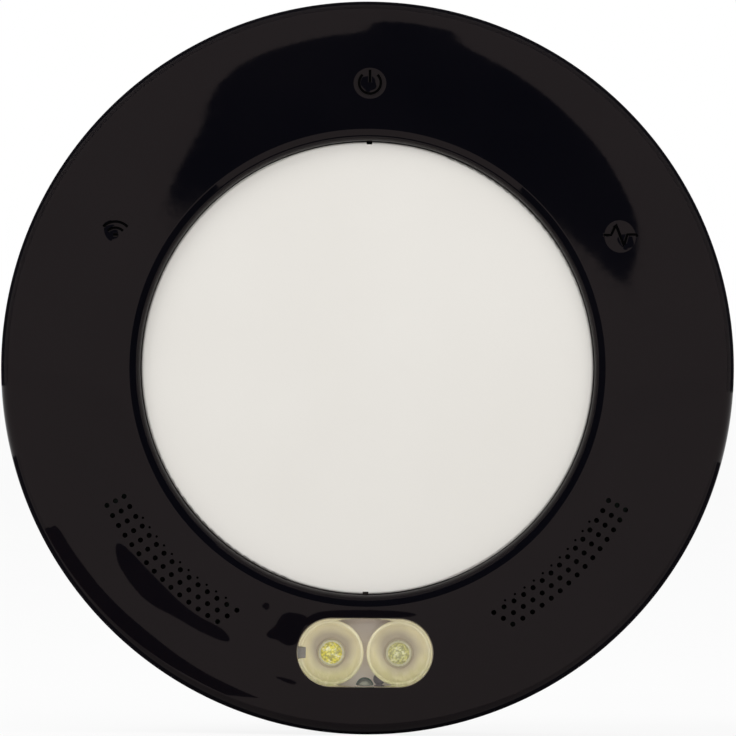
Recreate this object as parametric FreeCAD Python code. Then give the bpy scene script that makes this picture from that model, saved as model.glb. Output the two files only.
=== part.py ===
import FreeCAD, Part
import math
import os
from FreeCAD import Vector

# A round wall-mounted garage door controller.
# Lengths are millimetres. X is to the right of the face, Z is up, and the face looks along -Y.
# "Depth" is the distance from the wall: a point at depth 10 has y = -10.

# Face ring
face_r = 77.5
band_w = 29.6
front_height = 16.4
crown_outer_drop = 2.6
rim_round_w = 2.3
rim_round_h = 3.1
flank_draft = 1.1
bezel_wall = 2.4
parting_rise = 0.4
bevel_r = 2.6
seat_wall = 2.3
inner_corner_bulge = 0.6
rib_angles = (0.0, 45.0, 75.0, 105.0, 135.0, 180.0, 200.0, 340.0)
rib_w = 1.2
rib_drop = 6.5

# Centre cover and its seat in the ring
cover_gap = 0.15
cover_thickness = 2.0
cover_edge_r = 0.5
cover_sink = 2.8
ledge_width = 3.9
ledge_thickness = 1.8
hook_count = 4
hook_w = 8.0
hook_wall = 1.2
hook_catch = 0.7
hook_catch_h = 1.4
hook_gap = 0.15
cover_rib_h = 1.4
cover_rib_w = 1.2
cover_rib_radii = (18.0, 34.0)
nick_w = 1.2
nick_depth = 0.5

# Rear housing
housing_wall = 2.2
back_round_w = 2.7
back_round_h = 2.2
back_round_bulge = 0.6
back_inset = 9.6
flank_bulge = 2.6
floor_inset = 0.5
lip_base_low = 3.0
lip_base_high = 1.0
lip_wall = 1.2
lip_room = 0.8
lip_gap = 0.15
seam_chamfer = 0.5

# Housing screws, from the back into the ring's bosses
upper_screw_angles = (60.0, 120.0)
screw_inset = 0.7
tower_r = 4.2
tower_rise = 2.4
boss_r = 4.0
screw_seat_h = 12.0
screw_head_r = 2.75
screw_head_h = 2.0
screw_r = 1.45
screw_reach = 19.0
screw_head_gap = 0.35
screw_shank_gap = 0.2
pilot_gap = 0.05
pilot_spare = 1.0

# Pan head: how much of it is dome, and the dome's middle point, as shares
pan_dome_share = 0.35
pan_mid_r = 0.6
pan_mid_drop = 0.3

# Main board
board_rim_room = 9.5
board_thickness = 1.6
board_boss_r = 3.0
board_boss_inset = 11.8
board_boss_upper_deg = 8.7
board_boss_lead = 17.8
board_screw_r = 1.1
board_screw_len = 9.0
board_screw_head_r = 2.2
board_screw_head_h = 1.6
tower_notch_gap = 0.8

# Connector bay and cable channel in the back
bay_half_w = 33.0
bay_top_z = -15.0
bay_rim_room = 14.1
bay_board_room = 1.7
bay_wall = 1.8
bay_corner_r = 4.0
channel_half_w = 10.0
channel_depth = 9.0

# Keyholes
keyhole_spacing = 76.0
keyhole_entry_z = 24.0
keyhole_entry_r = 4.2
keyhole_slot_r = 2.2
keyhole_travel = 8.0
keyhole_room = 0.2
keyhole_pocket_depth = 6.0
keyhole_pocket_wall = 1.5

# Vents in the housing's flank
vent_w = 1.6
vent_inset = 3.0
vent_rise = 3.3
vent_parting_room = 4.5
vent_pitch_deg = 4.0
vent_angles = (90.0, 222.0, 318.0)
vent_counts = (9, 6, 6)

# Lamp window: two lamps side by side behind a clear lens
lamp_half_gap = 7.1
window_r = 7.35
lens_gap = 0.15
lens_proud = 0.25
lens_front_wall = 1.4
lens_side_wall = 0.55
lens_edge_r = 0.5
lens_flange_w = 1.2
lens_flange_h = 1.4
skirt_wall = 1.4
skirt_drop = 4.0

# Lamp tray, cups and lamps
tray_gap = 0.1
tray_wall = 1.0
tray_floor_rise = 1.2
tray_floor_h = 0.9
cup_mouth_r = 6.5
cup_lens_gap = 0.2
cup_wall = 0.7
cup_throat_r = 2.75
cup_collar_r = 3.4
cup_collar_gap = 0.1
cup_notch_w = 1.6
cup_notch_h = 2.6
cup_notch_depth = 1.5
cup_bulge = 0.9
cup_neck_gap = 0.1
led_r = 2.4
led_height = 4.8
led_dome_h = 1.9
led_flange_r = 2.9
led_flange_h = 0.8
led_lead_pitch = 2.54
led_lead_w = 0.5
led_lead_len = 2.8
tray_notch_r = 2.0
tray_hole_r = 1.2
tray_hole_x = 3.0
tray_notch_drop = 7.0
tray_hole_rise = 1.7

# Lamp board and its header
lamp_board_drop = 10.6
lamp_board_thickness = 1.6
lamp_board_half_w = 21.6
lamp_board_half_h = 7.5
lamp_board_corner_r = 2.5
lamp_board_room = 0.6
lamp_boss_x = 19.3
lamp_boss_r = 2.6
lamp_screw_r = 0.95
lamp_screw_head_r = 1.9
lamp_screw_head_h = 1.3
lamp_screw_len = 6.0
header_rise = 5.5
header_pins = 4
header_pitch = 2.54
header_pin_w = 0.64
header_body_h = 2.5
header_body_w = 2.5
header_stub = 1.0
pin_hole_gap = 0.12

# Speaker grilles: rows of round holes on arcs
grille_rows = 3
grille_holes = 15
grille_row_pitch = 2.05
grille_hole_pitch = 2.45
grille_hole_r = 0.55

# Speakers, drawn as if they lay on +X and then turned into place
speaker_side_room = 5.3
speaker_boss_room = 2.55
speaker_half_l = 15.0
speaker_corner_r = 4.0
chamber_wall = 1.2
chamber_drop = 4.2
gasket_h = 0.8
gasket_w = 2.2
frame_h = 3.6
frame_wall = 1.0
frame_floor_h = 0.8
frame_lip_h = 0.8
frame_lip_w = 2.2
surround_w = 1.1
surround_wall = 0.3
cone_wall = 0.4
cone_edge_gap = 0.05
cone_neck_r = 3.9
cone_neck_round = 0.98
cone_neck_rise = 1.1
cone_edge_sink = 0.5
dust_cap_rise = 0.9
dust_cap_lap = 0.6
coil_r = 3.5
coil_wall = 0.35
coil_len = 1.9
magnet_r = 5.4
magnet_gap = 0.05
magnet_rise = 0.4
magnet_h = 2.5
groove_in_r = 2.8
groove_out_r = 3.9
groove_floor = 0.5
strap_thickness = 0.8
strap_half_w = 3.5
strap_corner_r = 1.6
strap_boss_r = 2.1
strap_inner_room = 0.3
strap_outer_room = 2.5
strap_screw_r = 0.9
strap_screw_head_r = 1.8
strap_screw_head_h = 1.2
strap_screw_len = 5.0
contact_r = 1.0
contact_tip_r = 0.6
contact_tip_len = 2.4
contact_offset_r = -6.5
contact_offset_l = 8.0

# Icons, grilles and window lie on one circle, this far inside the middle of the ring's band
feature_inset = 2.6

# Icon light points on the ring
icon_angles = {"activity": 28.0, "power": 90.0, "network": 151.0}
dimple_r = 3.5
dimple_depth = 0.4
icon_skin = 0.8
collar_wall = 1.1
collar_drop = 7.0
pipe_head_r = 2.9
pipe_gap = 0.1
pipe_stem_r = 2.1
pipe_led_gap = 0.4
pipe_shoulder = 0.5
indicator_w = 3.2
indicator_l = 2.8
indicator_h = 1.9

# Parts on the main board
relay_w = 15.5
relay_l = 19.2
relay_h = 15.3
relay_floor_room = 2.5
relay_corner_r = 0.8
relay_pitch = 17.0
relay_low_z = 4.8
relay_count = 3
processor_w = 10.0
processor_h = 1.4
processor_x = 10.0
processor_z = 20.0
wireless_w = 18.0
wireless_l = 25.5
wireless_h = 0.8
wireless_x = -21.0
wireless_z = 22.7
shield_w = 15.2
shield_l = 17.4
shield_h = 2.4
shield_wall = 0.2
shield_margin = 1.2
can_room = 11.2
can_places_z = (4.5, -7.5)
can_radii = (5.0, 4.0)
can_heights = (13.0, 12.0)
can_edge = 0.5
can_groove_up = 2.0
can_groove_half = 0.6
can_groove_depth = 0.35
inductor_room = 12.7
inductor_z = 2.0
inductor_w = 12.0
inductor_h = 6.5
inductor_core_r = 4.4
inductor_cap_h = 1.2
inductor_base_h = 1.5
inductor_corner_r = 2.0

# Terminal block for three doors, two wires each
terminal_count = 6
terminal_pitch = 5.08
terminal_button_room = 3.7
terminal_end_wall = 0.6
terminal_length = 14.5
terminal_wall_gap = 0.2
nose_proud = 0.4
nose_step = 1.0
wire_entry_r = 1.3
wire_floor_room = 3.3
wire_entry_len = 9.5
funnel_r = 1.9
funnel_len = 0.9
button_w = 3.2
button_h = 2.8
button_wire_gap = 4.9
button_gap = 0.1
button_proud = 1.8
button_travel = 1.5
button_edge_r = 0.4
chamber_half_w = 1.9
chamber_low_z = -6.2
chamber_high_z = -1.2
chamber_gap = 0.1
spring_strip = 0.4
spring_half_w = 1.5
spring_tip_rise = 1.0
spring_bar_gap = 0.05
button_tip_gap = 0.2
contact_bar_h = 0.8

# Power inlet
side_room = 7.0
jack_w = 9.0
jack_shell_room = 0.1
jack_length = 14.2
jack_nose_r = 4.3
jack_bore_r = 3.15
jack_bore_len = 9.5
jack_floor_room = 4.6
jack_pin_r = 1.05
jack_pin_setback = 0.8
jack_pin_round = 0.4
jack_spring_w = 2.0
jack_spring_t = 0.25
jack_spring_gap = 0.3
jack_spring_setback = 2.0

# Reset button and its switch
reset_floor_room = 5.1
reset_button_r = 2.2
reset_guide_gap = 0.1
reset_proud = 0.8
reset_edge_r = 0.4
reset_travel = 0.5
reset_flange_r = 3.2
reset_flange_h = 0.9
reset_flange_gap = 0.05
reset_plunger_r = 1.7
reset_plunger_len = 1.9
reset_switch_w = 6.0
reset_switch_l = 3.8
reset_switch_gap = 0.8
reset_bore_gap = 0.1
reset_stop_gap = 0.2
reset_leg_inset = 0.6
reset_leg_w = 1.0

# How far a cut runs past a face, and how far an added piece is rooted in a wall
past = 1.0
root = 0.5

# Two places this close count as one
same = 0.01

# Depths that follow from the ones above, from the wall to the face
full_turn = 360.0
quarter_turn = 90.0
board_depth = housing_wall + relay_floor_room + relay_h
board_front = board_depth + board_thickness
face_depth = board_front + front_height
parting_depth = board_front + parting_rise
tower_top_depth = board_front + tower_rise
screw_seat_depth = tower_top_depth - screw_seat_h
bay_floor_depth = board_depth - bay_board_room - bay_wall
vent_low_depth = back_round_h + vent_rise
vent_high_depth = parting_depth - vent_parting_room
wire_entry_depth = bay_floor_depth - wire_floor_room
button_depth = wire_entry_depth - button_wire_gap
terminal_low_depth = button_depth - terminal_button_room
jack_axis_depth = bay_floor_depth - jack_floor_room
jack_low_depth = jack_axis_depth - jack_nose_r - jack_shell_room
reset_axis_depth = bay_floor_depth - reset_floor_room
rim_depth = face_depth - crown_outer_drop - rim_round_h
bevel_foot_depth = face_depth - bevel_r
cover_face_depth = face_depth - cover_sink
ledge_depth = cover_face_depth - cover_thickness
rib_depth = face_depth - rib_drop
collar_depth = face_depth - collar_drop
skirt_depth = face_depth - skirt_drop
lamp_board_depth = face_depth - lamp_board_drop
lamp_board_front = lamp_board_depth + lamp_board_thickness
tray_floor_low = lamp_board_front + tray_floor_rise
chamber_depth = face_depth - chamber_drop
speaker_front = chamber_depth - gasket_h
speaker_back = speaker_front - frame_h
magnet_top = speaker_back + magnet_rise
magnet_low = magnet_top - magnet_h
strap_low_depth = magnet_low - strap_thickness
lip_top_depth = strap_low_depth - strap_screw_head_h - lip_room

# Radii and places that follow
cover_seat_r = face_r - band_w
crown_inner_r = cover_seat_r + bevel_r
crease_r = face_r - rim_round_w
crown_mid_r = (crown_inner_r + crease_r) / 2
crown_arc_r = ((crease_r - crown_inner_r) ** 2 + crown_outer_drop ** 2) / (2 * crown_outer_drop)
parting_r = face_r - flank_draft
skirt_in_r = parting_r - bezel_wall
seat_wall_r = cover_seat_r + seat_wall
ledge_in_r = cover_seat_r - ledge_width
back_flat_r = parting_r - back_inset
board_r = skirt_in_r - board_rim_room
board_boss_circle_r = board_r - board_boss_inset
inductor_x = board_boss_circle_r - inductor_room
capacitor_x = can_room - board_boss_circle_r
feature_r = face_r - band_w / 2 - feature_inset
screw_circle_r = face_r - band_w / 2 - screw_inset
lamp_z = -feature_r
header_z = lamp_z + header_rise
grille_row_r = feature_r - grille_row_pitch * (grille_rows - 1) / 2
speaker_half_w = band_w / 2 - speaker_side_room
strap_inner_r = cover_seat_r - strap_inner_room
strap_outer_r = feature_r + speaker_half_w + strap_outer_room
bay_bottom_z = bay_rim_room - feature_r
wall_in_z = bay_top_z + bay_wall
jack_x = side_room - bay_half_w
reset_x = bay_half_w - side_room

# The lower screws clear the lamp board, and the speakers clear the lower screws
lower_screw_x = lamp_board_half_w + lamp_board_room + boss_r
lower_screw_deg = math.degrees(math.acos(lower_screw_x / screw_circle_r))
screw_angles = upper_screw_angles + (full_turn / 2 + lower_screw_deg, full_turn - lower_screw_deg)
speaker_reach = speaker_half_l + speaker_boss_room + boss_r
speaker_deg = lower_screw_deg - math.degrees(math.asin(speaker_reach / screw_circle_r))
speaker_angles = {"right": -speaker_deg, "left": full_turn / 2 + speaker_deg}
board_boss_angles = (board_boss_upper_deg, board_boss_lead - speaker_deg)
y_axis = Vector(0, 1, 0)
z_axis = Vector(0, 0, 1)
origin = Vector(0, 0, 0)


# Basic solids, placed by x, depth and z
def disc(radius, low, high, x=0.0, z=0.0):
    return Part.makeCylinder(radius, high - low, Vector(x, -low, z), Vector(0, -1, 0))


def ring(outer_r, inner_r, low, high, x=0.0, z=0.0):
    return disc(outer_r, low, high, x, z).cut(disc(inner_r, low - past, high + past, x, z))


def post(radius, low_z, high_z, x, depth):
    return Part.makeCylinder(radius, high_z - low_z, Vector(x, -depth, low_z), z_axis)


def block(x0, x1, low, high, z0, z1):
    return Part.makeBox(x1 - x0, high - low, z1 - z0, Vector(x0, -high, z0))


def slab(outline, low, high):
    """A closed outline in the x, z plane, drawn out from depth low to depth high."""
    shape = Part.Face(outline).extrude(Vector(0, -(high - low), 0))
    shape.translate(Vector(0, -low, 0))
    return shape


def rounded_outline(half_w, half_h, corner, x=0.0, z=0.0):
    r = min(corner, half_w, half_h)
    k = r * (1 - math.sqrt(0.5))
    edges = []
    corners = ((1, 1), (-1, 1), (-1, -1), (1, -1))
    points = []
    for sx, sz in corners:
        side_end = Vector(x + sx * half_w, 0, z + sz * (half_h - r))
        middle = Vector(x + sx * (half_w - k), 0, z + sz * (half_h - k))
        top_end = Vector(x + sx * (half_w - r), 0, z + sz * half_h)
        if sx * sz > 0:
            points.append((side_end, middle, top_end))
        else:
            points.append((top_end, middle, side_end))
    for index, (start, middle, end) in enumerate(points):
        edges.append(Part.Arc(start, middle, end).toShape())
        following = points[(index + 1) % len(points)][0]
        if end.distanceToPoint(following) > same:
            edges.append(Part.makeLine(end, following))
    return Part.Wire(edges)


def rounded_block(half_w, half_h, corner, low, high, x=0.0, z=0.0):
    return slab(rounded_outline(half_w, half_h, corner, x, z), low, high)


def stadium(half_gap, radius, low, high, x=0.0, z=0.0):
    return rounded_block(half_gap + radius, radius, radius, low, high, x, z)


# Turned solids: a profile of (radius, depth) points, where a pair of points is an arc through the first
def at(point):
    return Vector(point[0], -point[1], 0)


def profile(start, *steps):
    edges = []
    here = start
    for step in steps + (start,):
        if isinstance(step[0], tuple):
            edges.append(Part.Arc(at(here), at(step[0]), at(step[1])).toShape())
            here = step[1]
        else:
            edges.append(Part.makeLine(at(here), at(step)))
            here = step
    return Part.Face(Part.Wire(edges))


def turned(face, x=0.0, z=0.0):
    shape = face.revolve(origin, y_axis, full_turn)
    shape.translate(Vector(x, 0, z))
    return shape


def via(start, end, bulge):
    """The point beside the middle of a chord that gives an arc of this bulge, to the right of the way."""
    dx = end[0] - start[0]
    dy = end[1] - start[1]
    length = math.hypot(dx, dy)
    return ((start[0] + end[0]) / 2 + bulge * dy / length, (start[1] + end[1]) / 2 - bulge * dx / length)


def quarter(centre, radius, degrees=45.0):
    angle = math.radians(degrees)
    return (centre[0] + radius * math.cos(angle), centre[1] + radius * math.sin(angle))


def place(radius, degrees):
    angle = math.radians(degrees)
    return radius * math.cos(angle), radius * math.sin(angle)


def spun(shape, degrees):
    """Turns a shape about the object's axis, from +X towards +Z."""
    return shape.rotated(origin, y_axis, -degrees)


def crown_depth(radius):
    """Depth of the ring's crowned face at a radius: level at its inner edge, and falling to the rim."""
    return face_depth - crown_arc_r + math.sqrt(crown_arc_r ** 2 - (radius - crown_inner_r) ** 2)


def underside(radius):
    return crown_depth(radius) - bezel_wall


def into_crown(radius):
    """A depth inside the crown's thickness, where a boss under it can end."""
    return crown_depth(radius) - bezel_wall / 2


# Face ring
def under_crown(rise):
    """The space under the crowned face, with that face raised by a little or, below zero, lowered."""
    return turned(
        profile(
            (cover_seat_r, parting_depth),
            (cover_seat_r, face_depth + rise),
            (crown_inner_r, face_depth + rise),
            ((crown_mid_r, crown_depth(crown_mid_r) + rise), (crease_r, crown_depth(crease_r) + rise)),
            (crease_r, parting_depth),
        )
    )


def bezel_ring():
    bevel_centre = (crown_inner_r, bevel_foot_depth)
    crown_start = (crown_inner_r, face_depth)
    crown_end = (crease_r, face_depth - crown_outer_drop)
    rim = (face_r, rim_depth)
    rim_arc_r = (rim_round_w ** 2 + rim_round_h ** 2) / (2 * rim_round_w)
    rim_centre = (face_r - rim_arc_r, rim_depth)
    rim_half_turn = math.degrees(math.asin(min(1.0, rim_round_h / rim_arc_r))) / 2
    inner_start = (face_r - bezel_wall, rim_depth)
    inner_corner = (crease_r - bezel_wall, underside(crease_r - bezel_wall))
    return turned(
        profile(
            (ledge_in_r, ledge_depth),
            (cover_seat_r, ledge_depth),
            (cover_seat_r, bevel_foot_depth),
            (quarter(bevel_centre, bevel_r, 135.0), crown_start),
            ((crown_mid_r, crown_depth(crown_mid_r)), crown_end),
            (quarter(rim_centre, rim_arc_r, rim_half_turn), rim),
            (parting_r, parting_depth),
            (skirt_in_r, parting_depth),
            inner_start,
            (via(inner_corner, inner_start, inner_corner_bulge), inner_corner),
            ((crown_mid_r, underside(crown_mid_r)), (seat_wall_r, underside(seat_wall_r))),
            (seat_wall_r, ledge_depth - ledge_thickness),
            (ledge_in_r, ledge_depth - ledge_thickness),
        )
    )


def grille_places():
    """Rows of holes on arcs that start side by side, with the middle row centred on its speaker."""
    half_count = (grille_holes - 1) / 2
    start = speaker_deg - half_count * math.degrees(grille_hole_pitch / feature_r)
    for side in (1, -1):
        for row in range(grille_rows):
            radius = grille_row_r + row * grille_row_pitch
            step = math.degrees(grille_hole_pitch / radius)
            for hole in range(grille_holes):
                x, z = place(radius, -start - hole * step)
                yield side * x, z


def speaker_chamber(degrees):
    outer = rounded_block(
        speaker_half_w, speaker_half_l, speaker_corner_r, chamber_depth, face_depth, feature_r
    ).common(under_crown(-bezel_wall / 2))
    inner = rounded_block(
        speaker_half_w - chamber_wall, speaker_half_l - chamber_wall, speaker_corner_r - chamber_wall,
        chamber_depth - past, face_depth, feature_r
    )
    bosses = [
        disc(strap_boss_r, magnet_low, ledge_depth - ledge_thickness / 2, strap_inner_r),
        disc(strap_boss_r, magnet_low, into_crown(strap_outer_r), strap_outer_r),
    ]
    return spun(outer.cut(inner).multiFuse(bosses), degrees)


def lamp_boss(side):
    x = side * lamp_boss_x
    return disc(lamp_boss_r, lamp_board_front, into_crown(math.hypot(x, lamp_z)), x, lamp_z)


def bezel_rib(degrees):
    """A radial rib under the crown, from the seat wall to the ring's side."""
    x0 = seat_wall_r - root
    x1 = skirt_in_r + root
    rib = block(x0, x1, rib_depth, face_depth, -rib_w / 2, rib_w / 2)
    return spun(rib.common(under_crown(-bezel_wall / 2)), degrees)


def dimple_ball():
    """The ball that hollows a dimple square to the crowned face, drawn on +X."""
    ball_r = (dimple_r ** 2 + dimple_depth ** 2) / (2 * dimple_depth)
    arc_depth = face_depth - crown_arc_r
    share = (crown_arc_r + ball_r - dimple_depth) / crown_arc_r
    out = crown_inner_r + (feature_r - crown_inner_r) * share
    up = arc_depth + (crown_depth(feature_r) - arc_depth) * share
    return Part.makeSphere(ball_r, Vector(out, -up, 0))


def make_bezel():
    body = bezel_ring()
    added = [bezel_rib(degrees) for degrees in rib_angles]
    removed = []
    for degrees in screw_angles:
        x, z = place(screw_circle_r, degrees)
        added.append(disc(boss_r, tower_top_depth, into_crown(screw_circle_r), x, z))
        pilot_top = screw_seat_depth + screw_reach + pilot_spare
        removed.append(disc(screw_r + pilot_gap, tower_top_depth - past, pilot_top, x, z))
    for degrees in icon_angles.values():
        x, z = place(feature_r, degrees)
        collar_r = pipe_head_r + pipe_gap
        added.append(disc(collar_r + collar_wall, collar_depth, into_crown(feature_r), x, z))
        pocket_top = crown_depth(feature_r) - dimple_depth - icon_skin
        removed.append(disc(collar_r, collar_depth - past, pocket_top, x, z))
        removed.append(spun(dimple_ball(), degrees))
    for degrees in speaker_angles.values():
        added.append(speaker_chamber(degrees))
        for radius in (strap_inner_r, strap_outer_r):
            x, z = place(radius, degrees)
            hole_top = magnet_low + strap_screw_len
            removed.append(disc(strap_screw_r + pilot_gap, magnet_low - past, hole_top, x, z))
    for side in (1, -1):
        added.append(lamp_boss(side))
        hole_top = lamp_board_front + lamp_screw_len
        x = side * lamp_boss_x
        removed.append(disc(lamp_screw_r + pilot_gap, lamp_board_front - past, hole_top, x, lamp_z))
    skirt_top = into_crown(-lamp_z + window_r)
    added.append(stadium(lamp_half_gap, window_r + skirt_wall, skirt_depth, skirt_top, 0, lamp_z))
    removed.append(stadium(lamp_half_gap, window_r, skirt_depth - past, face_depth + past, 0, lamp_z))
    holes = []
    for x, z in grille_places():
        holes.append(disc(grille_hole_r, chamber_depth, face_depth + past, x, z))
    body = body.multiFuse(added)
    body = body.cut(removed[0].multiFuse(removed[1:]))
    return body.cut(Part.makeCompound(holes))


def make_cover():
    edge_r = cover_seat_r - cover_gap
    face = cover_face_depth
    back = face - cover_thickness
    round_centre = (edge_r - cover_edge_r, face - cover_edge_r)
    body = turned(
        profile(
            (0, back),
            (edge_r, back),
            (edge_r, face - cover_edge_r),
            (quarter(round_centre, cover_edge_r), (edge_r - cover_edge_r, face)),
            (0, face),
        )
    )
    added = []
    for radius in cover_rib_radii:
        added.append(ring(radius + cover_rib_w, radius, back - cover_rib_h, back + root))
    outer_rib_r = max(cover_rib_radii) + cover_rib_w / 2
    half_rib = cover_rib_w / 2
    rib = block(-outer_rib_r, outer_rib_r, back - cover_rib_h, back + root, -half_rib, half_rib)
    hook_out_r = ledge_in_r - hook_gap
    hook_in_r = hook_out_r - hook_wall
    under_ledge = ledge_depth - ledge_thickness - hook_gap
    for index in range(hook_count):
        turn = index * full_turn / hook_count
        low = under_ledge - hook_catch_h
        reach = block(0, face_r, low, back + root, -hook_w / 2, hook_w / 2)
        stem = ring(hook_out_r, hook_in_r, low, back + root)
        catch = ring(hook_out_r + hook_catch, hook_in_r, low, under_ledge)
        added.append(spun(stem.fuse(catch).common(reach), turn))
        added.append(spun(rib, turn / 2))
    body = body.multiFuse(added)
    nicks = []
    for side in (1, -1):
        z = side * edge_r
        nick = block(-nick_w / 2, nick_w / 2, back - past, face + past, z - nick_depth, z + nick_depth)
        nicks.append(nick)
    return body.cut(Part.makeCompound(nicks)).removeSplitter()


# Lamp window
def lens_inner_depth():
    """The flat inner face of the lens lies below its lowest edge."""
    return crown_depth(-lamp_z + window_r) + lens_proud - lens_front_wall


def make_lens():
    outer_r = window_r - lens_gap
    low = skirt_depth - lens_flange_h
    body = stadium(lamp_half_gap, outer_r, low, face_depth + past, 0, lamp_z)
    body = body.common(under_crown(lens_proud))
    rim = [edge for edge in body.Edges if edge.BoundBox.YMax < -lens_inner_depth() - lens_edge_r]
    body = body.makeFillet(lens_edge_r, rim)
    flange = stadium(
        lamp_half_gap, window_r + lens_flange_w, skirt_depth - lens_flange_h, skirt_depth, 0, lamp_z
    )
    hollow = stadium(
        lamp_half_gap, outer_r - lens_side_wall, skirt_depth - lens_flange_h - past,
        lens_inner_depth(), 0, lamp_z
    )
    return body.fuse(flange).cut(hollow).removeSplitter()


def cup_mouth_depth():
    return lens_inner_depth() - cup_lens_gap


def make_cup(side):
    mouth = cup_mouth_depth()
    base = tray_floor_low
    neck = base + tray_floor_h + cup_neck_gap
    inner_mouth_r = cup_mouth_r - cup_wall
    x = side * lamp_half_gap
    outer_start = (cup_collar_r, neck)
    outer_end = (cup_mouth_r, mouth)
    inner_start = (inner_mouth_r, mouth)
    inner_end = (cup_throat_r, neck)
    cup = turned(
        profile(
            (cup_throat_r, base),
            (cup_collar_r, base),
            outer_start,
            (via(outer_start, outer_end, cup_bulge), outer_end),
            inner_start,
            (via(inner_end, inner_start, cup_bulge), inner_end),
        ),
        x, lamp_z
    )
    if side < 0:
        edge = x - cup_mouth_r
        notch = block(
            edge - past, edge + cup_notch_w, mouth - cup_notch_depth, mouth + past,
            lamp_z - cup_notch_h / 2, lamp_z + cup_notch_h / 2
        )
        cup = cup.cut(notch)
    return cup


def make_led(side):
    x = side * lamp_half_gap
    low = lamp_board_front
    top = low + led_height
    shoulder = top - led_dome_h
    dome_r = (led_r ** 2 + led_dome_h ** 2) / (2 * led_dome_h)
    dome_start = math.degrees(math.asin((dome_r - led_dome_h) / dome_r))
    body = turned(
        profile(
            (0, low),
            (led_flange_r, low),
            (led_flange_r, low + led_flange_h),
            (led_r, low + led_flange_h),
            (led_r, shoulder),
            (quarter((0, top - dome_r), dome_r, (dome_start + quarter_turn) / 2), (0, top)),
        ),
        x, lamp_z
    )
    leads = []
    for lead_side in (1, -1):
        centre = x + lead_side * led_lead_pitch / 2
        leads.append(square_pin(centre, lamp_z, led_lead_w, low - led_lead_len, low + root))
    return body.multiFuse(leads)


def make_tray():
    outer_r = window_r + lens_flange_w - tray_gap
    top = skirt_depth - lens_flange_h
    inner_r = outer_r - tray_wall
    body = stadium(lamp_half_gap, outer_r, lamp_board_front, top, 0, lamp_z)
    floor_top = tray_floor_low + tray_floor_h
    upper = stadium(lamp_half_gap, inner_r, floor_top, top + past, 0, lamp_z)
    lower = stadium(lamp_half_gap, inner_r, lamp_board_front - past, tray_floor_low, 0, lamp_z)
    low = tray_floor_low - past
    high = floor_top + past
    notch_z = lamp_z - tray_notch_drop
    holes = [
        disc(tray_notch_r, low, high, 0, notch_z),
        disc(tray_hole_r, low, high, tray_hole_x, notch_z + tray_hole_rise),
    ]
    for side in (1, -1):
        holes.append(disc(cup_collar_r + cup_collar_gap, low, high, side * lamp_half_gap, lamp_z))
    return body.cut(upper).cut(lower).cut(holes[0].multiFuse(holes[1:]))


def header_places():
    for index in range(header_pins):
        yield (index - (header_pins - 1) / 2) * header_pitch


def corner_r(width):
    """Radius of the circle through a square pin's corners."""
    return width * math.sqrt(0.5)


def square_pin(x, z, width, low, high):
    half = width / 2
    return block(x - half, x + half, low, high, z - half, z + half)


def make_lamp_board():
    board = rounded_block(
        lamp_board_half_w, lamp_board_half_h, lamp_board_corner_r,
        lamp_board_depth, lamp_board_front, 0, lamp_z
    )
    holes = []
    low = lamp_board_depth - past
    high = lamp_board_front + past
    for side in (1, -1):
        holes.append(disc(lamp_screw_r + screw_shank_gap, low, high, side * lamp_boss_x, lamp_z))
        for lead_side in (1, -1):
            x = side * lamp_half_gap + lead_side * led_lead_pitch / 2
            holes.append(disc(corner_r(led_lead_w) + pin_hole_gap, low, high, x, lamp_z))
    for x in header_places():
        holes.append(disc(corner_r(header_pin_w) + pin_hole_gap, low, high, x, header_z))
    return board.cut(Part.makeCompound(holes))


def make_header_body():
    half_w = header_pins * header_pitch / 2
    half_h = header_body_w / 2
    top = board_front + header_body_h
    body = block(-half_w, half_w, board_front, top, header_z - half_h, header_z + half_h)
    for x in header_places():
        body = body.cut(square_pin(x, header_z, header_pin_w, board_front - past, top + past))
    return body


def make_header_pins():
    low = board_depth - header_stub
    high = lamp_board_front + header_stub / 2
    return Part.makeCompound([square_pin(x, header_z, header_pin_w, low, high) for x in header_places()])


def pan_screw(x, z, seat, head, shank_r, length, inward=1):
    """A pan-head screw whose head lies on the wall side (inward 1) or the face side (-1) of its seat."""
    head_r, head_h = head
    dome = head_h * pan_dome_share
    flat = seat - inward * (head_h - dome)
    top = seat - inward * head_h
    screw = profile(
        (0, seat + inward * length),
        (0, top),
        ((head_r * pan_mid_r, top + inward * dome * pan_mid_drop), (head_r, flat)),
        (head_r, seat),
        (shank_r, seat),
        (shank_r, seat + inward * length),
    )
    return turned(screw, x, z)


# Speakers
def make_gasket(degrees):
    outer = rounded_block(
        speaker_half_w, speaker_half_l, speaker_corner_r, speaker_front, chamber_depth, feature_r
    )
    inner = rounded_block(
        speaker_half_w - gasket_w, speaker_half_l - gasket_w, speaker_corner_r - gasket_w / 2,
        speaker_front - past, chamber_depth + past, feature_r
    )
    return spun(outer.cut(inner), degrees)


def make_frame(degrees):
    body = rounded_block(
        speaker_half_w, speaker_half_l, speaker_corner_r, speaker_back, speaker_front, feature_r
    )
    floor_top = speaker_back + frame_floor_h
    hollow = rounded_block(
        speaker_half_w - frame_wall, speaker_half_l - frame_wall, speaker_corner_r - frame_wall,
        floor_top, speaker_front - frame_lip_h, feature_r
    )
    opening = rounded_block(
        speaker_half_w - frame_lip_w, speaker_half_l - frame_lip_w, speaker_corner_r - frame_lip_w / 2,
        speaker_front - frame_lip_h - root, speaker_front + past, feature_r
    )
    magnet_hole = disc(magnet_r + magnet_gap, speaker_back - past, floor_top + past, feature_r)
    return spun(body.cut(hollow).cut(opening).cut(magnet_hole), degrees)


def surround_outline(inset):
    grow = frame_lip_w + inset
    return speaker_half_w - grow, speaker_half_l - grow, speaker_corner_r - grow / 2


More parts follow.
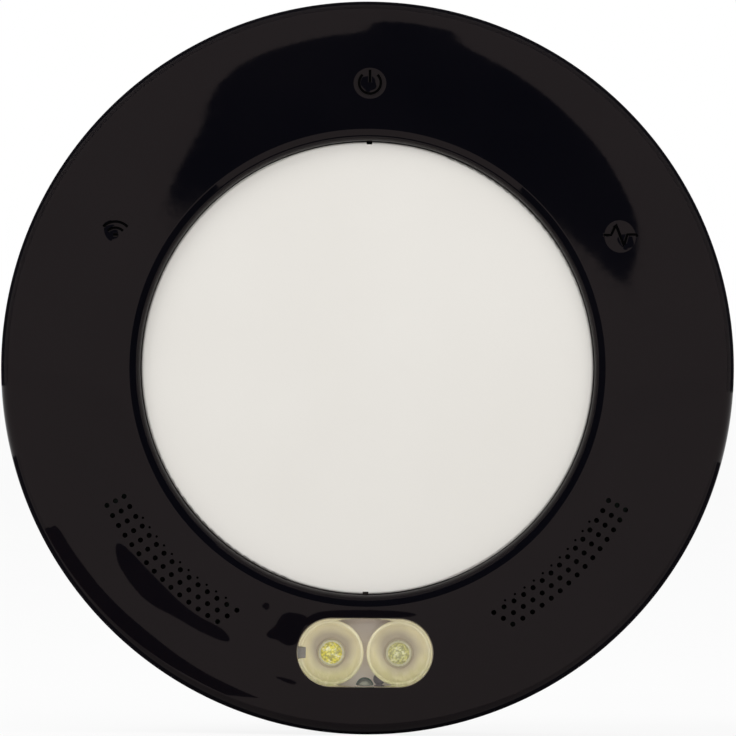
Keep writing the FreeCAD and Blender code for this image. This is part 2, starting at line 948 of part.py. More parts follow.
def make_surround(degrees):
    """A half-round roll that joins the frame's lip to the edge of the cone."""
    half_w, half_l, corner = surround_outline(surround_w / 2)
    low = speaker_front - frame_lip_h
    path = rounded_outline(half_w, half_l, corner, feature_r)
    path.translate(Vector(0, -low, 0))
    start = path.Edges[0].Vertexes[0].Point
    outer = Vector(surround_w / 2, 0, 0)
    inner = outer - Vector(surround_wall, 0, 0)
    edges = [
        Part.Arc(start + outer, start - y_axis * outer.x, start - outer).toShape(),
        Part.makeLine(start - outer, start - inner),
        Part.Arc(start - inner, start - y_axis * inner.x, start + inner).toShape(),
        Part.makeLine(start + inner, start + outer),
    ]
    roll = path.makePipeShell([Part.Wire(edges)], True, True, 1)
    return spun(roll, degrees)


def cone_skin(drop):
    """The cone's funnel, from its long rounded edge down to its round neck."""
    half_w, half_l, corner = surround_outline(surround_w)
    half_w -= cone_edge_gap + drop / 2
    half_l -= cone_edge_gap + drop / 2
    edge_depth = speaker_front - frame_lip_h - cone_edge_sink + drop
    neck_depth = magnet_top + cone_neck_rise + drop
    neck = cone_neck_r - drop / 2
    upper = rounded_outline(half_w, half_l, corner, feature_r)
    lower = rounded_outline(neck, neck, neck * cone_neck_round, feature_r)
    upper.translate(Vector(0, -edge_depth, 0))
    lower.translate(Vector(0, -neck_depth, 0))
    return Part.makeLoft([lower, upper], True, True)


def make_cone(degrees):
    neck_depth = magnet_top + cone_neck_rise
    funnel = cone_skin(0.0).cut(cone_skin(cone_wall))
    cap_r = coil_r + dust_cap_lap
    ball_r = (cap_r ** 2 + dust_cap_rise ** 2) / (2 * dust_cap_rise)
    seat_depth = neck_depth + cone_wall / 2
    cap_top = neck_depth + cone_wall + dust_cap_rise
    centre = Vector(feature_r, -(cap_top - ball_r), 0)
    cap = Part.makeSphere(ball_r, centre).cut(Part.makeSphere(ball_r - cone_wall, centre))
    cap = cap.common(disc(cap_r, seat_depth, cap_top + past, feature_r))
    coil = ring(coil_r, coil_r - coil_wall, neck_depth - coil_len, seat_depth, feature_r)
    return spun(funnel.multiFuse([cap, coil]), degrees)


def make_magnet(degrees):
    body = disc(magnet_r, magnet_low, magnet_top, feature_r)
    groove = ring(groove_out_r, groove_in_r, magnet_low + groove_floor, magnet_top + past, feature_r)
    return spun(body.cut(groove), degrees)


def make_strap(degrees):
    middle = (strap_inner_r + strap_outer_r) / 2
    half = (strap_outer_r - strap_inner_r) / 2 + strap_boss_r
    strap = rounded_block(half, strap_half_w, strap_corner_r, strap_low_depth, magnet_low, middle)
    for radius in (strap_inner_r, strap_outer_r):
        hole_r = strap_screw_r + screw_shank_gap
        strap = strap.cut(disc(hole_r, strap_low_depth - past, magnet_low + past, radius))
    return spun(strap, degrees)


def make_contacts(degrees):
    pins = []
    for side in (1, -1):
        x = feature_r + contact_offset_r
        tip_top = board_front + contact_tip_len
        pin = turned(
            profile(
                (0, board_front),
                (contact_tip_r, board_front),
                (contact_tip_r, tip_top),
                (contact_r, tip_top),
                (contact_r, speaker_back),
                (0, speaker_back),
            ),
            x, side * contact_offset_l
        )
        pins.append(spun(pin, degrees))
    return Part.makeCompound(pins)


def make_strap_screws():
    screws = []
    head = (strap_screw_head_r, strap_screw_head_h)
    for degrees in speaker_angles.values():
        for radius in (strap_inner_r, strap_outer_r):
            x, z = place(radius, degrees)
            screws.append(pan_screw(x, z, strap_low_depth, head, strap_screw_r, strap_screw_len))
    return Part.makeCompound(screws)


# Icon lights
def make_light_pipe(degrees):
    top = crown_depth(feature_r) - dimple_depth - icon_skin - pipe_gap
    low = board_front + indicator_h + pipe_led_gap
    shoulder = collar_depth + pipe_shoulder
    x, z = place(feature_r, degrees)
    return turned(
        profile(
            (0, low),
            (pipe_stem_r, low),
            (pipe_stem_r, collar_depth - pipe_shoulder),
            (pipe_head_r, shoulder),
            (pipe_head_r, top),
            (0, top),
        ),
        x, z
    )


def make_indicators():
    leds = []
    for degrees in icon_angles.values():
        x, z = place(feature_r, degrees)
        leds.append(
            block(
                x - indicator_w / 2, x + indicator_w / 2, board_front, board_front + indicator_h,
                z - indicator_l / 2, z + indicator_l / 2
            )
        )
    return Part.makeCompound(leds)


# Main board and what stands on it
def board_boss_points():
    for degrees in board_boss_angles:
        x, z = place(board_boss_circle_r, degrees)
        yield x, z
        yield -x, z


def make_main_board():
    board = disc(board_r, board_depth, board_front)
    cuts = []
    low = board_depth - past
    high = board_front + past
    for degrees in screw_angles:
        x, z = place(screw_circle_r, degrees)
        cuts.append(disc(tower_r + tower_notch_gap, low, high, x, z))
    for x, z in board_boss_points():
        cuts.append(disc(board_screw_r + screw_shank_gap, low, high, x, z))
    for x in header_places():
        cuts.append(disc(corner_r(header_pin_w) + pin_hole_gap, low, high, x, header_z))
    return board.cut(Part.makeCompound(cuts))


def make_relay(index):
    x = (index - (relay_count - 1) / 2) * relay_pitch
    body = block(
        x - relay_w / 2, x + relay_w / 2, board_depth - relay_h, board_depth,
        relay_low_z, relay_low_z + relay_l
    )
    upright = [edge for edge in body.Edges if edge.BoundBox.YLength > relay_h - same]
    return body.makeFillet(relay_corner_r, upright)


def make_capacitors():
    cans = []
    for z, radius, height in zip(can_places_z, can_radii, can_heights):
        groove = board_depth - can_groove_up
        low = board_depth - height
        can = turned(
            profile(
                (0, low),
                (radius - can_edge, low),
                (radius, low + can_edge),
                (radius, groove - can_groove_half),
                ((radius - can_groove_depth, groove), (radius, groove + can_groove_half)),
                (radius, board_depth),
                (0, board_depth),
            ),
            capacitor_x, z
        )
        cans.append(can)
    return Part.makeCompound(cans)


def make_inductor():
    half = inductor_w / 2
    low = board_depth - inductor_h
    cap_top = low + inductor_cap_h
    base_low = board_depth - inductor_base_h
    base = rounded_block(half, half, inductor_corner_r, base_low, board_depth, inductor_x, inductor_z)
    core = disc(inductor_core_r, cap_top, base_low, inductor_x, inductor_z)
    cap = rounded_block(half, half, inductor_corner_r, low, cap_top, inductor_x, inductor_z)
    return base.multiFuse([core, cap])


def make_processor():
    half = processor_w / 2
    return block(
        processor_x - half, processor_x + half, board_front, board_front + processor_h,
        processor_z - half, processor_z + half
    )


def make_wireless_board():
    return block(
        wireless_x - wireless_w / 2, wireless_x + wireless_w / 2, board_front, board_front + wireless_h,
        wireless_z - wireless_l / 2, wireless_z + wireless_l / 2
    )


def make_shield():
    low = board_front + wireless_h
    z0 = wireless_z - wireless_l / 2 + shield_margin
    x0 = wireless_x - shield_w / 2
    can = block(x0, x0 + shield_w, low, low + shield_h, z0, z0 + shield_l)
    hollow = block(
        x0 + shield_wall, x0 + shield_w - shield_wall, low - past, low + shield_h - shield_wall,
        z0 + shield_wall, z0 + shield_l - shield_wall
    )
    return can.cut(hollow)


# Terminal block
def terminal_places():
    for index in range(terminal_count):
        yield (index - (terminal_count - 1) / 2) * terminal_pitch


def terminal_half_w():
    return terminal_count * terminal_pitch / 2 + terminal_end_wall


def nose_z():
    return bay_top_z - nose_proud


def make_terminal_body():
    half = terminal_half_w()
    low_z = wall_in_z + terminal_wall_gap
    high_z = low_z + terminal_length
    body = block(-half, half, terminal_low_depth, board_depth, low_z, high_z)
    nose = block(
        -half + nose_step, half - nose_step, terminal_low_depth + nose_step,
        bay_floor_depth - nose_step / 2, nose_z(), low_z
    )
    body = body.fuse(nose)
    cuts = []
    for x in terminal_places():
        cuts.append(post(wire_entry_r, nose_z() - past, nose_z() + wire_entry_len, x, wire_entry_depth))
        funnel = Part.makeCone(
            funnel_r, wire_entry_r, funnel_len, Vector(x, -wire_entry_depth, nose_z()), z_axis
        )
        cuts.append(funnel)
        half_w = button_w / 2 + button_gap
        half_h = button_h / 2 + button_gap
        cuts.append(
            block(
                x - half_w, x + half_w, button_depth - half_h, button_depth + half_h,
                nose_z() - past, chamber_low_z + chamber_gap
            )
        )
        cuts.append(
            block(
                x - chamber_half_w, x + chamber_half_w, button_depth - half_h,
                wire_entry_depth + wire_entry_r + contact_bar_h, chamber_low_z, chamber_high_z
            )
        )
    return body.cut(cuts[0].multiFuse(cuts[1:]))


def spring_high_z():
    return chamber_high_z - chamber_gap


def make_release_button(x):
    half_w = button_w / 2
    low = button_depth - button_h / 2
    high = button_depth + button_h / 2
    z0 = nose_z() - button_proud
    z1 = spring_high_z() - spring_strip - spring_drop() - button_tip_gap - button_travel
    cap = block(x - half_w, x + half_w, low, high, z0, z1)
    mouth = [edge for edge in cap.Edges if edge.BoundBox.ZMax < z0 + same]
    end = [edge for edge in cap.Edges if edge.BoundBox.ZMin > z1 - same]
    tip = [edge for edge in end if edge.BoundBox.YMax < same - high]
    return cap.makeFillet(button_edge_r, mouth + tip)


def spring_drop():
    """How far the clamp spring's leaf has come down where the button's tip meets it."""
    reach = wire_entry_depth + wire_entry_r - button_depth
    share = (button_h / 2) / reach
    return share * (spring_high_z() - chamber_low_z - spring_tip_rise)


def make_clamp_springs():
    """Each spring runs along the chamber's back wall and leans down to its contact bar."""
    springs = []
    top = spring_high_z()
    near = button_depth - button_h / 2 + chamber_gap
    far = wire_entry_depth + wire_entry_r - spring_bar_gap
    tip_z = chamber_low_z + spring_tip_rise
    bend = near + button_h / 2
    points = (
        (far, top),
        (near, top),
        (near, top - spring_strip),
        (bend, top - 2 * spring_strip),
        (far, tip_z),
        (far, tip_z + 1.5 * spring_strip),
        (bend + 2 * spring_strip, top - 1.5 * spring_strip),
        (far, top - spring_strip),
    )
    for x in terminal_places():
        corners = [Vector(x - spring_half_w, -depth, z) for depth, z in points]
        face = Part.Face(Part.makePolygon(corners + corners[:1]))
        springs.append(face.extrude(Vector(2 * spring_half_w, 0, 0)))
    return Part.makeCompound(springs)


def make_terminal_contacts():
    bars = []
    low = wire_entry_depth + wire_entry_r
    for x in terminal_places():
        bar = block(
            x - spring_half_w, x + spring_half_w, low, low + contact_bar_h,
            chamber_low_z + chamber_gap, spring_high_z()
        )
        bars.append(bar)
    return Part.makeCompound(bars)


# Power inlet
def make_jack_body():
    low_z = wall_in_z + terminal_wall_gap
    body = block(
        jack_x - jack_w / 2, jack_x + jack_w / 2, jack_low_depth, board_depth, low_z, low_z + jack_length
    )
    nose = post(jack_nose_r, bay_top_z, low_z + root, jack_x, jack_axis_depth)
    bore = post(jack_bore_r, bay_top_z - past, bay_top_z + jack_bore_len, jack_x, jack_axis_depth)
    return body.fuse(nose).cut(bore)


def make_jack_pin():
    tip = bay_top_z + jack_pin_setback
    end = bay_top_z + jack_bore_len
    body = post(jack_pin_r, tip, end, jack_x, jack_axis_depth)
    rim = [edge for edge in body.Edges if edge.BoundBox.ZMax < tip + same]
    return body.makeFillet(jack_pin_round, rim)


def make_jack_spring():
    """A leaf along the inlet's bore that bears on the plug's sleeve."""
    outer = jack_axis_depth + jack_bore_r - jack_spring_gap
    z0 = bay_top_z + jack_spring_setback
    z1 = bay_top_z + jack_bore_len
    half = jack_spring_w / 2
    return block(jack_x - half, jack_x + half, outer - jack_spring_t, outer, z0, z1)


# Reset button
def flange_low_z():
    return wall_in_z + reset_flange_gap


def make_reset_button():
    z0 = bay_top_z - reset_proud
    z1 = flange_low_z() + reset_flange_h
    cap = post(reset_button_r, z0, z1, reset_x, reset_axis_depth)
    flange = post(reset_flange_r, flange_low_z(), z1, reset_x, reset_axis_depth)
    rim = [edge for edge in cap.Edges if edge.BoundBox.ZMax < z0 + same]
    return cap.makeFillet(reset_edge_r, rim).fuse(flange)


def make_reset_plunger():
    z0 = flange_low_z() + reset_flange_h
    return post(reset_plunger_r, z0, z0 + reset_plunger_len, reset_x, reset_axis_depth)


def make_reset_switch():
    half = reset_switch_w / 2
    z0 = flange_low_z() + reset_flange_h + reset_switch_gap
    z1 = z0 + reset_switch_l
    body = block(
        reset_x - half, reset_x + half, reset_axis_depth - half, reset_axis_depth + half, z0, z1
    )
    plunger_end = flange_low_z() + reset_flange_h + reset_plunger_len
    bore_end = plunger_end + reset_travel + reset_stop_gap
    bore = post(reset_plunger_r + reset_bore_gap, z0 - past, bore_end, reset_x, reset_axis_depth)
    legs = []
    for side in (1, -1):
        edge = reset_x + side * half
        inner = edge - side * reset_leg_w
        legs.append(
            block(
                min(edge, inner), max(edge, inner), reset_axis_depth + half - root, board_depth,
                z0 + reset_leg_inset, z1 - reset_leg_inset
            )
        )
    return body.multiFuse(legs).cut(bore)


# Rear housing
def housing_shell():
    back_round = (back_flat_r + back_round_w, back_round_h)
    rim = (parting_r, parting_depth - seam_chamfer)
    outer = turned(
        profile(
            (0, 0),
            (back_flat_r, 0),
            (via((back_flat_r, 0), back_round, back_round_bulge), back_round),
            (via(back_round, rim, flank_bulge), rim),
            (parting_r - seam_chamfer, parting_depth),
            (0, parting_depth),
        )
    )
    floor_corner = (back_flat_r - floor_inset, housing_wall)
    wall_top = (parting_r - housing_wall, parting_depth)
    hollow = turned(
        profile(
            (0, housing_wall),
            floor_corner,
            (via(floor_corner, wall_top, flank_bulge + back_round_bulge), wall_top),
            (wall_top[0], parting_depth + past),
            (0, parting_depth + past),
        )
    )
    lip_out_r = skirt_in_r - lip_gap
    lip_in_r = lip_out_r - lip_wall
    low = parting_depth - lip_base_low
    lip = ring(lip_out_r, lip_in_r, low, lip_top_depth)
    lip_base = ring(parting_r - housing_wall / 2, lip_in_r, low, parting_depth - lip_base_high)
    return outer.cut(hollow).multiFuse([lip, lip_base])


def bay_outline(grow, low, high):
    half_h = (bay_top_z - bay_bottom_z) / 2
    middle = (bay_top_z + bay_bottom_z) / 2
    return rounded_block(bay_half_w + grow, half_h + grow, bay_corner_r + grow, low, high, 0, middle)


def keyhole_pocket(x):
    out_r = keyhole_entry_r + keyhole_room + keyhole_pocket_wall
    top = keyhole_pocket_depth + keyhole_pocket_wall
    middle = keyhole_entry_z + keyhole_travel / 2
    return rounded_block(out_r, out_r + keyhole_travel / 2, out_r, root, top, x, middle)


def keyhole_cut(x):
    in_r = keyhole_entry_r + keyhole_room
    middle = keyhole_entry_z + keyhole_travel / 2
    half_h = in_r + keyhole_travel / 2
    room = rounded_block(in_r, half_h, in_r, housing_wall, keyhole_pocket_depth, x, middle)
    entry = disc(keyhole_entry_r, -past, housing_wall + past, x, keyhole_entry_z)
    slot_half = keyhole_travel / 2 + keyhole_slot_r
    slot = rounded_block(keyhole_slot_r, slot_half, keyhole_slot_r, -past, housing_wall + past, x, middle)
    return room.multiFuse([entry, slot])


def vent_slots():
    slots = []
    inner_r = back_flat_r - vent_inset
    slot = block(inner_r, face_r, vent_low_depth, vent_high_depth, -vent_w / 2, vent_w / 2)
    for centre, count in zip(vent_angles, vent_counts):
        for index in range(count):
            degrees = centre + (index - (count - 1) / 2) * vent_pitch_deg
            slots.append(spun(slot, degrees))
    return slots


def make_housing():
    added = []
    removed = []
    for degrees in screw_angles:
        x, z = place(screw_circle_r, degrees)
        added.append(disc(tower_r, root, tower_top_depth, x, z))
        removed.append(disc(screw_head_r + screw_head_gap, -past, screw_seat_depth, x, z))
        shank_low = screw_seat_depth - past
        removed.append(disc(screw_r + screw_shank_gap, shank_low, tower_top_depth + past, x, z))
    pilot_low = board_front - board_screw_len - pilot_spare
    for x, z in board_boss_points():
        added.append(disc(board_boss_r, root, board_depth, x, z))
        removed.append(disc(board_screw_r + pilot_gap, pilot_low, board_depth + past, x, z))
    added.append(bay_outline(bay_wall, root, bay_floor_depth + bay_wall))
    removed.append(bay_outline(0, -past, bay_floor_depth))
    channel_in = block(
        -channel_half_w, channel_half_w, -past, channel_depth, -face_r - past, bay_bottom_z + bay_corner_r
    )
    wall_out = channel_half_w + bay_wall
    channel_out = block(
        -wall_out, wall_out, root, channel_depth + bay_wall, -parting_r, bay_bottom_z
    ).common(disc(back_flat_r + back_round_w / 2, 0, channel_depth + bay_wall + past))
    added.append(channel_out)
    removed.append(channel_in)
    half = terminal_half_w() - nose_step + terminal_wall_gap
    removed.append(
        block(
            -half, half, terminal_low_depth + nose_step - terminal_wall_gap,
            bay_floor_depth, bay_top_z - past, wall_in_z + past
        )
    )
    low_z = bay_top_z - past
    high_z = wall_in_z + past
    removed.append(post(jack_nose_r + terminal_wall_gap, low_z, high_z, jack_x, jack_axis_depth))
    removed.append(post(reset_button_r + reset_guide_gap, low_z, high_z, reset_x, reset_axis_depth))
    for side in (1, -1):
        x = side * keyhole_spacing / 2
        added.append(keyhole_pocket(x))
        removed.append(keyhole_cut(x))
    removed.extend(vent_slots())
    body = housing_shell().multiFuse(added)
    return body.cut(removed[0].multiFuse(removed[1:]))


def make_housing_screws():
    screws = []
    head = (screw_head_r, screw_head_h)
    for degrees in screw_angles:
        x, z = place(screw_circle_r, degrees)
        screws.append(pan_screw(x, z, screw_seat_depth, head, screw_r, screw_reach))
    return Part.makeCompound(screws)


def make_board_screws():
    screws = []
    head = (board_screw_head_r, board_screw_head_h)
    for x, z in board_boss_points():
        screws.append(pan_screw(x, z, board_front, head, board_screw_r, board_screw_len, -1))
    return Part.makeCompound(screws)


def make_lamp_screws():
    screws = []
    head = (lamp_screw_head_r, lamp_screw_head_h)
    for side in (1, -1):
        x = side * lamp_boss_x
        screws.append(pan_screw(x, lamp_z, lamp_board_depth, head, lamp_screw_r, lamp_screw_len))
    return Part.makeCompound(screws)


def all_parts():
    parts = {
        "front_bezel": make_bezel(),
        "centre_cover": make_cover(),
        "lamp_lens": make_lens(),
        "lamp_tray": make_tray(),
        "left_lamp_reflector": make_cup(-1),
        "right_lamp_reflector": make_cup(1),
        "left_lamp_led": make_led(-1),
        "right_lamp_led": make_led(1),
        "lamp_board": make_lamp_board(),
        "lamp_board_screws": make_lamp_screws(),
        "lamp_header_body": make_header_body(),
        "lamp_header_pins": make_header_pins(),
        "speaker_strap_screws": make_strap_screws(),
        "indicator_leds": make_indicators(),
        "main_board": make_main_board(),
        "processor": make_processor(),
        "wireless_board": make_wireless_board(),
        "wireless_shield": make_shield(),
        "input_capacitors": make_capacitors(),
        "power_inductor": make_inductor(),
        "power_inlet_body": make_jack_body(),
        "power_inlet_pin": make_jack_pin(),
        "power_inlet_spring": make_jack_spring(),
        "terminal_body": make_terminal_body(),
        "terminal_contacts": make_terminal_contacts(),
        "clamp_springs": make_clamp_springs(),
        "reset_switch": make_reset_switch(),
        "reset_plunger": make_reset_plunger(),
        "reset_button": make_reset_button(),
        "rear_housing": make_housing(),
        "housing_screws": make_housing_screws(),
        "board_screws": make_board_screws(),
    }
    for side, degrees in speaker_angles.items():
        parts[side + "_speaker_gasket"] = make_gasket(degrees)
        parts[side + "_speaker_frame"] = make_frame(degrees)
        parts[side + "_speaker_surround"] = make_surround(degrees)
        parts[side + "_speaker_cone"] = make_cone(degrees)
        parts[side + "_speaker_magnet"] = make_magnet(degrees)
        parts[side + "_speaker_strap"] = make_strap(degrees)
        parts[side + "_speaker_contacts"] = make_contacts(degrees)
    for name, degrees in icon_angles.items():
        parts[name + "_light_pipe"] = make_light_pipe(degrees)
    for index in range(relay_count):
        parts["door_relay_" + str(index + 1)] = make_relay(index)
    for index, x in enumerate(terminal_places()):
        parts["release_button_" + str(index + 1)] = make_release_button(x)
    return parts


os.makedirs("parts", exist_ok=True)
for name, shape in all_parts().items():
    shape.exportStep("parts/" + name + ".step")
    print(name, "solids", len(shape.Solids), "volume", round(shape.Volume, 1), "valid", shape.isValid())
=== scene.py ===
import bpy
import bmesh
import math
import numpy as np
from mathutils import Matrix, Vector


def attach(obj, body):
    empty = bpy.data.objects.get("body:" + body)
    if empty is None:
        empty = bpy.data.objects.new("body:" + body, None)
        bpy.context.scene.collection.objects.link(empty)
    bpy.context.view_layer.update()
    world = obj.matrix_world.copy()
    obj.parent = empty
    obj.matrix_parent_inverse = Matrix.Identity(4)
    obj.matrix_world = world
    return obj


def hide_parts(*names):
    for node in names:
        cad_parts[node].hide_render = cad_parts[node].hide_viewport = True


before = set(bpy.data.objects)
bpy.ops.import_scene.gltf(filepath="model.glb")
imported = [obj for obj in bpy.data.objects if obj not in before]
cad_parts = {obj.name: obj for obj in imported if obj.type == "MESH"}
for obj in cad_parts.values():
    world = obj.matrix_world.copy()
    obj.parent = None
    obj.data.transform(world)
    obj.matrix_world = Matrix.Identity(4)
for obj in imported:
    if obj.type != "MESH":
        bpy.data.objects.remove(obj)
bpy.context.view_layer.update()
mm = 0.001

# x to the right of the face, z up, the face looks along -y, and "depth" is the distance from the wall


def spot(x, depth, z):
    # a place given in mm
    return Vector((x * mm, -depth * mm, z * mm))


def fromPolar(radius, degrees, depth):
    angle = math.radians(degrees)
    return spot(radius * math.cos(angle), depth, radius * math.sin(angle))


def arcPoints(centre, radius, startDeg, endDeg, count):
    # flat points along a circular arc
    points = []
    for index in range(count + 1):
        angle = math.radians(startDeg + (endDeg - startDeg) * index / count)
        points.append((centre[0] + radius * math.cos(angle), centre[1] + radius * math.sin(angle)))
    return points


def newObject(name, vertices, faces, material=None, smooth=False):
    mesh = bpy.data.meshes.new(name)
    mesh.from_pydata([tuple(v) for v in vertices], [], faces)
    mesh.update()
    if material:
        mesh.materials.append(material)
    for polygon in mesh.polygons:
        polygon.use_smooth = smooth
    return showMesh(name, mesh)


def showMesh(name, mesh):
    made = bpy.data.objects.new(name, mesh)
    bpy.context.scene.collection.objects.link(made)
    return made


def reworked(thing, change):
    # let a function change the object's mesh as a bmesh
    work = bmesh.new()
    work.from_mesh(thing.data)
    change(work)
    work.to_mesh(thing.data)
    work.free()
    thing.data.update()
    return thing


def closeUp(work):
    # merge doubles, then turn every face outwards
    bmesh.ops.remove_doubles(work, verts=work.verts, dist=1e-7)
    bmesh.ops.dissolve_degenerate(work, edges=work.edges, dist=1e-8)
    bmesh.ops.recalc_face_normals(work, faces=work.faces)


def closedObject(name, vertices, faces, material=None, smooth=False):
    return reworked(newObject(name, vertices, faces, material, smooth), closeUp)


def sharpen(thing, degrees):
    # smooth shading, with edges over this angle kept crisp
    def shade(work):
        for face in work.faces:
            face.smooth = True
        for edge in work.edges:
            if len(edge.link_faces) != 2 or edge.calc_face_angle(0.0) > math.radians(degrees):
                edge.smooth = False
    return reworked(thing, shade)


def turnedSolid(name, outline, steps, material=None, smooth=False, centre=(0.0, 0.0)):
    # a closed outline of (radius, depth) in mm, turned about an axis through centre (x, z)
    vertices, faces, rings = [], [], []
    for radius, depth in outline:
        if radius < 1e-6:
            rings.append([len(vertices)] * steps)
            vertices.append(spot(centre[0], depth, centre[1]))
            continue
        rings.append(list(range(len(vertices), len(vertices) + steps)))
        for step in range(steps):
            angle = 2 * math.pi * step / steps
            vertices.append(spot(centre[0] + radius * math.cos(angle), depth, centre[1] + radius * math.sin(angle)))
    for here, after in zip(rings, rings[1:] + rings[:1]):
        if here[0] == here[-1] and after[0] == after[-1]:
            continue
        for step in range(steps):
            other = (step + 1) % steps
            corner = [here[step], here[other], after[other], after[step]]
            face = [v for place, v in enumerate(corner) if v not in corner[:place]]
            if len(face) > 2:
                faces.append(face)
    return closedObject(name, vertices, faces, material, smooth)


def boxTool(name, xs, depths, zs, taper=1.0):
    # a box between these sides in mm, drawn in at its second depth by the taper
    corners = [spot(x * part, depth, z * part)
               for x in xs for depth, part in zip(depths, (1.0, taper)) for z in zs]
    return closedObject(name, corners, [[0, 1, 3, 2], [4, 6, 7, 5], [0, 4, 5, 1], [2, 3, 7, 6],
                                        [0, 2, 6, 4], [1, 5, 7, 3]])


def applied(thing, step):
    # the object's mesh with its modifier worked in
    bpy.context.view_layer.update()
    mesh = bpy.data.meshes.new_from_object(thing.evaluated_get(bpy.context.evaluated_depsgraph_get()))
    thing.modifiers.remove(step)
    return mesh


def combine(target, other, operation):
    # boolean of two closed meshes
    step = target.modifiers.new("combine", "BOOLEAN")
    step.operation = operation
    step.solver = "MANIFOLD"
    step.object = other
    old, target.data = target.data, applied(target, step)
    bpy.data.meshes.remove(old)
    target.data.name = target.name
    bpy.data.objects.remove(other)


def joinAll(name, things, material=None):
    vertices, faces = [], []
    for thing in things:
        start = len(vertices)
        vertices.extend(v.co.copy() for v in thing.data.vertices)
        faces.extend([start + v for v in polygon.vertices] for polygon in thing.data.polygons)
        bpy.data.objects.remove(thing)
    return newObject(name, vertices, faces, material)


def cadCopy(node, name):
    # a merged copy of a CAD node's loose triangles
    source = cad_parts[node]
    vertices = [source.matrix_world @ v.co for v in source.data.vertices]
    copied = newObject(name, vertices, [list(p.vertices) for p in source.data.polygons])
    return reworked(copied, lambda work: bmesh.ops.remove_doubles(work, verts=work.verts, dist=2e-6))


# Node trees, for materials and Geometry Nodes alike
class NodeValue:
    # one output in a tree; sums of such values are written as plain arithmetic
    def __init__(self, tree, socket):
        self.tree = tree
        self.socket = socket

    def do(self, operation, *others):
        return addNode(self.tree, "ShaderNodeMath", dict(enumerate((self, *others))), operation=operation)

    def __add__(self, other):
        return self.do("ADD", other)

    def __sub__(self, other):
        return self.do("SUBTRACT", other)

    def __mul__(self, other):
        return self.do("MULTIPLY", other)

    def __truediv__(self, other):
        return self.do("DIVIDE", other)


def feed(tree, value, socket):
    # link a node's output, or else set a fixed value
    value = getattr(value, "socket", value)
    if hasattr(value, "is_output"):
        tree.links.new(value, socket)
    else:
        socket.default_value = value


def addNode(tree, kind, inputs, output=0, **settings):
    node = tree.nodes.new(kind)
    for label, value in settings.items():
        setattr(node, label, value)
    for label, value in inputs.items():
        feed(tree, value, node.inputs[label])
    return NodeValue(tree, node.outputs[output])


def joinedAxes(tree, x, y, z):
    return addNode(tree, "ShaderNodeCombineXYZ", {"X": x, "Y": y, "Z": z})


def startTree(name, kinds):
    # a Geometry Nodes tree with these inputs, what they give, and its output node
    tree = bpy.data.node_groups.new(name, "GeometryNodeTree")
    tree.interface.new_socket("Geometry", in_out="INPUT", socket_type="NodeSocketGeometry")
    for label, kind in kinds.items():
        tree.interface.new_socket(label, in_out="INPUT", socket_type="NodeSocket" + kind)
    tree.interface.new_socket("Geometry", in_out="OUTPUT", socket_type="NodeSocketGeometry")
    source = tree.nodes.new("NodeGroupInput")
    return tree, {label: NodeValue(tree, source.outputs[label]) for label in kinds}, tree.nodes.new("NodeGroupOutput")


def finishTree(tree, points, pattern, turn, output, material):
    # a copy of the pattern at each point, as real geometry with its material
    copies = addNode(tree, "GeometryNodeInstanceOnPoints",
                     {"Points": points, "Instance": pattern, "Rotation": turn}, "Instances")
    real = addNode(tree, "GeometryNodeRealizeInstances", {"Geometry": copies}, "Geometry")
    dressed = addNode(tree, "GeometryNodeSetMaterial", {"Geometry": real, "Material": material}, "Geometry")
    feed(tree, dressed, output.inputs["Geometry"])
    return tree


def growFromTree(name, tree, values):
    # run the tree on an empty carrier and keep the result as a plain mesh
    carrier = newObject(name + "_carrier", [(0, 0, 0)], [])
    step = carrier.modifiers.new("grow", "NODES")
    step.node_group = tree
    for item in tree.interface.items_tree:
        if item.in_out == "INPUT" and item.name in values:
            step[item.identifier] = values[item.name]
    mesh = applied(carrier, step)
    bpy.data.objects.remove(carrier)
    mesh.name = name
    return showMesh(name, mesh)


# Finishes. Every one has its own grain, gloss and small unevenness, in the object's own coordinates
finishes = {}


def startFinish(name):
    # a new material, and the place in the object that its patterns follow
    finishes[name] = bpy.data.materials.new(name)
    finishes[name].use_nodes = True
    return addNode(finishes[name].node_tree, "ShaderNodeTexCoord", {}, "Object")


def stretched(where, scale, turn=(0.0, 0.0, 0.0)):
    return addNode(where.tree, "ShaderNodeMapping", {"Vector": where, "Scale": scale, "Rotation": turn}, "Vector")


def noiseOf(where, perMetre, detail=3.0, rough=0.5):
    return addNode(where.tree, "ShaderNodeTexNoise",
                   {"Vector": where, "Scale": perMetre, "Detail": detail, "Roughness": rough}, "Fac")


def cellsOf(where, perMetre):
    return addNode(where.tree, "ShaderNodeTexVoronoi", {"Vector": where, "Scale": perMetre}, "Distance")


def axisOf(where, axis):
    return addNode(where.tree, "ShaderNodeSeparateXYZ", {"Vector": where}, axis)


def spread(value, low, high, fromLow=0.3, fromHigh=0.7):
    return addNode(value.tree, "ShaderNodeMapRange", {
        "Value": value, "From Min": fromLow, "From Max": fromHigh, "To Min": low, "To Max": high}, "Result")


def blendColours(value, first, second):
    first, second = ((*colour, 1.0) if isinstance(colour, tuple) else colour for colour in (first, second))
    return addNode(value.tree, "ShaderNodeMix", {0: value, 6: first, 7: second}, 2, data_type="RGBA")


def mottled(noise, first, second):
    return blendColours(spread(noise, 0.0, 1.0), first, second)


def dress(where, colour, gloss, height, bump, more=None):
    # colour, roughness and bump (its strength and depth), then the shader's other inputs by name
    tree, more = where.tree, more or {}
    shader = tree.nodes["Principled BSDF"]
    feed(tree, colour, shader.inputs["Base Color"])
    # an emission strength makes the finish glow in its own colour, a painted glow
    if "Emission Strength" in more:
        feed(tree, colour, shader.inputs["Emission Color"])
    feed(tree, gloss, shader.inputs["Roughness"])
    feed(tree, addNode(tree, "ShaderNodeBump", {"Strength": bump[0], "Distance": bump[1], "Height": height}, "Normal"),
         shader.inputs["Normal"])
    for label, value in more.items():
        shader.inputs[label].default_value = value


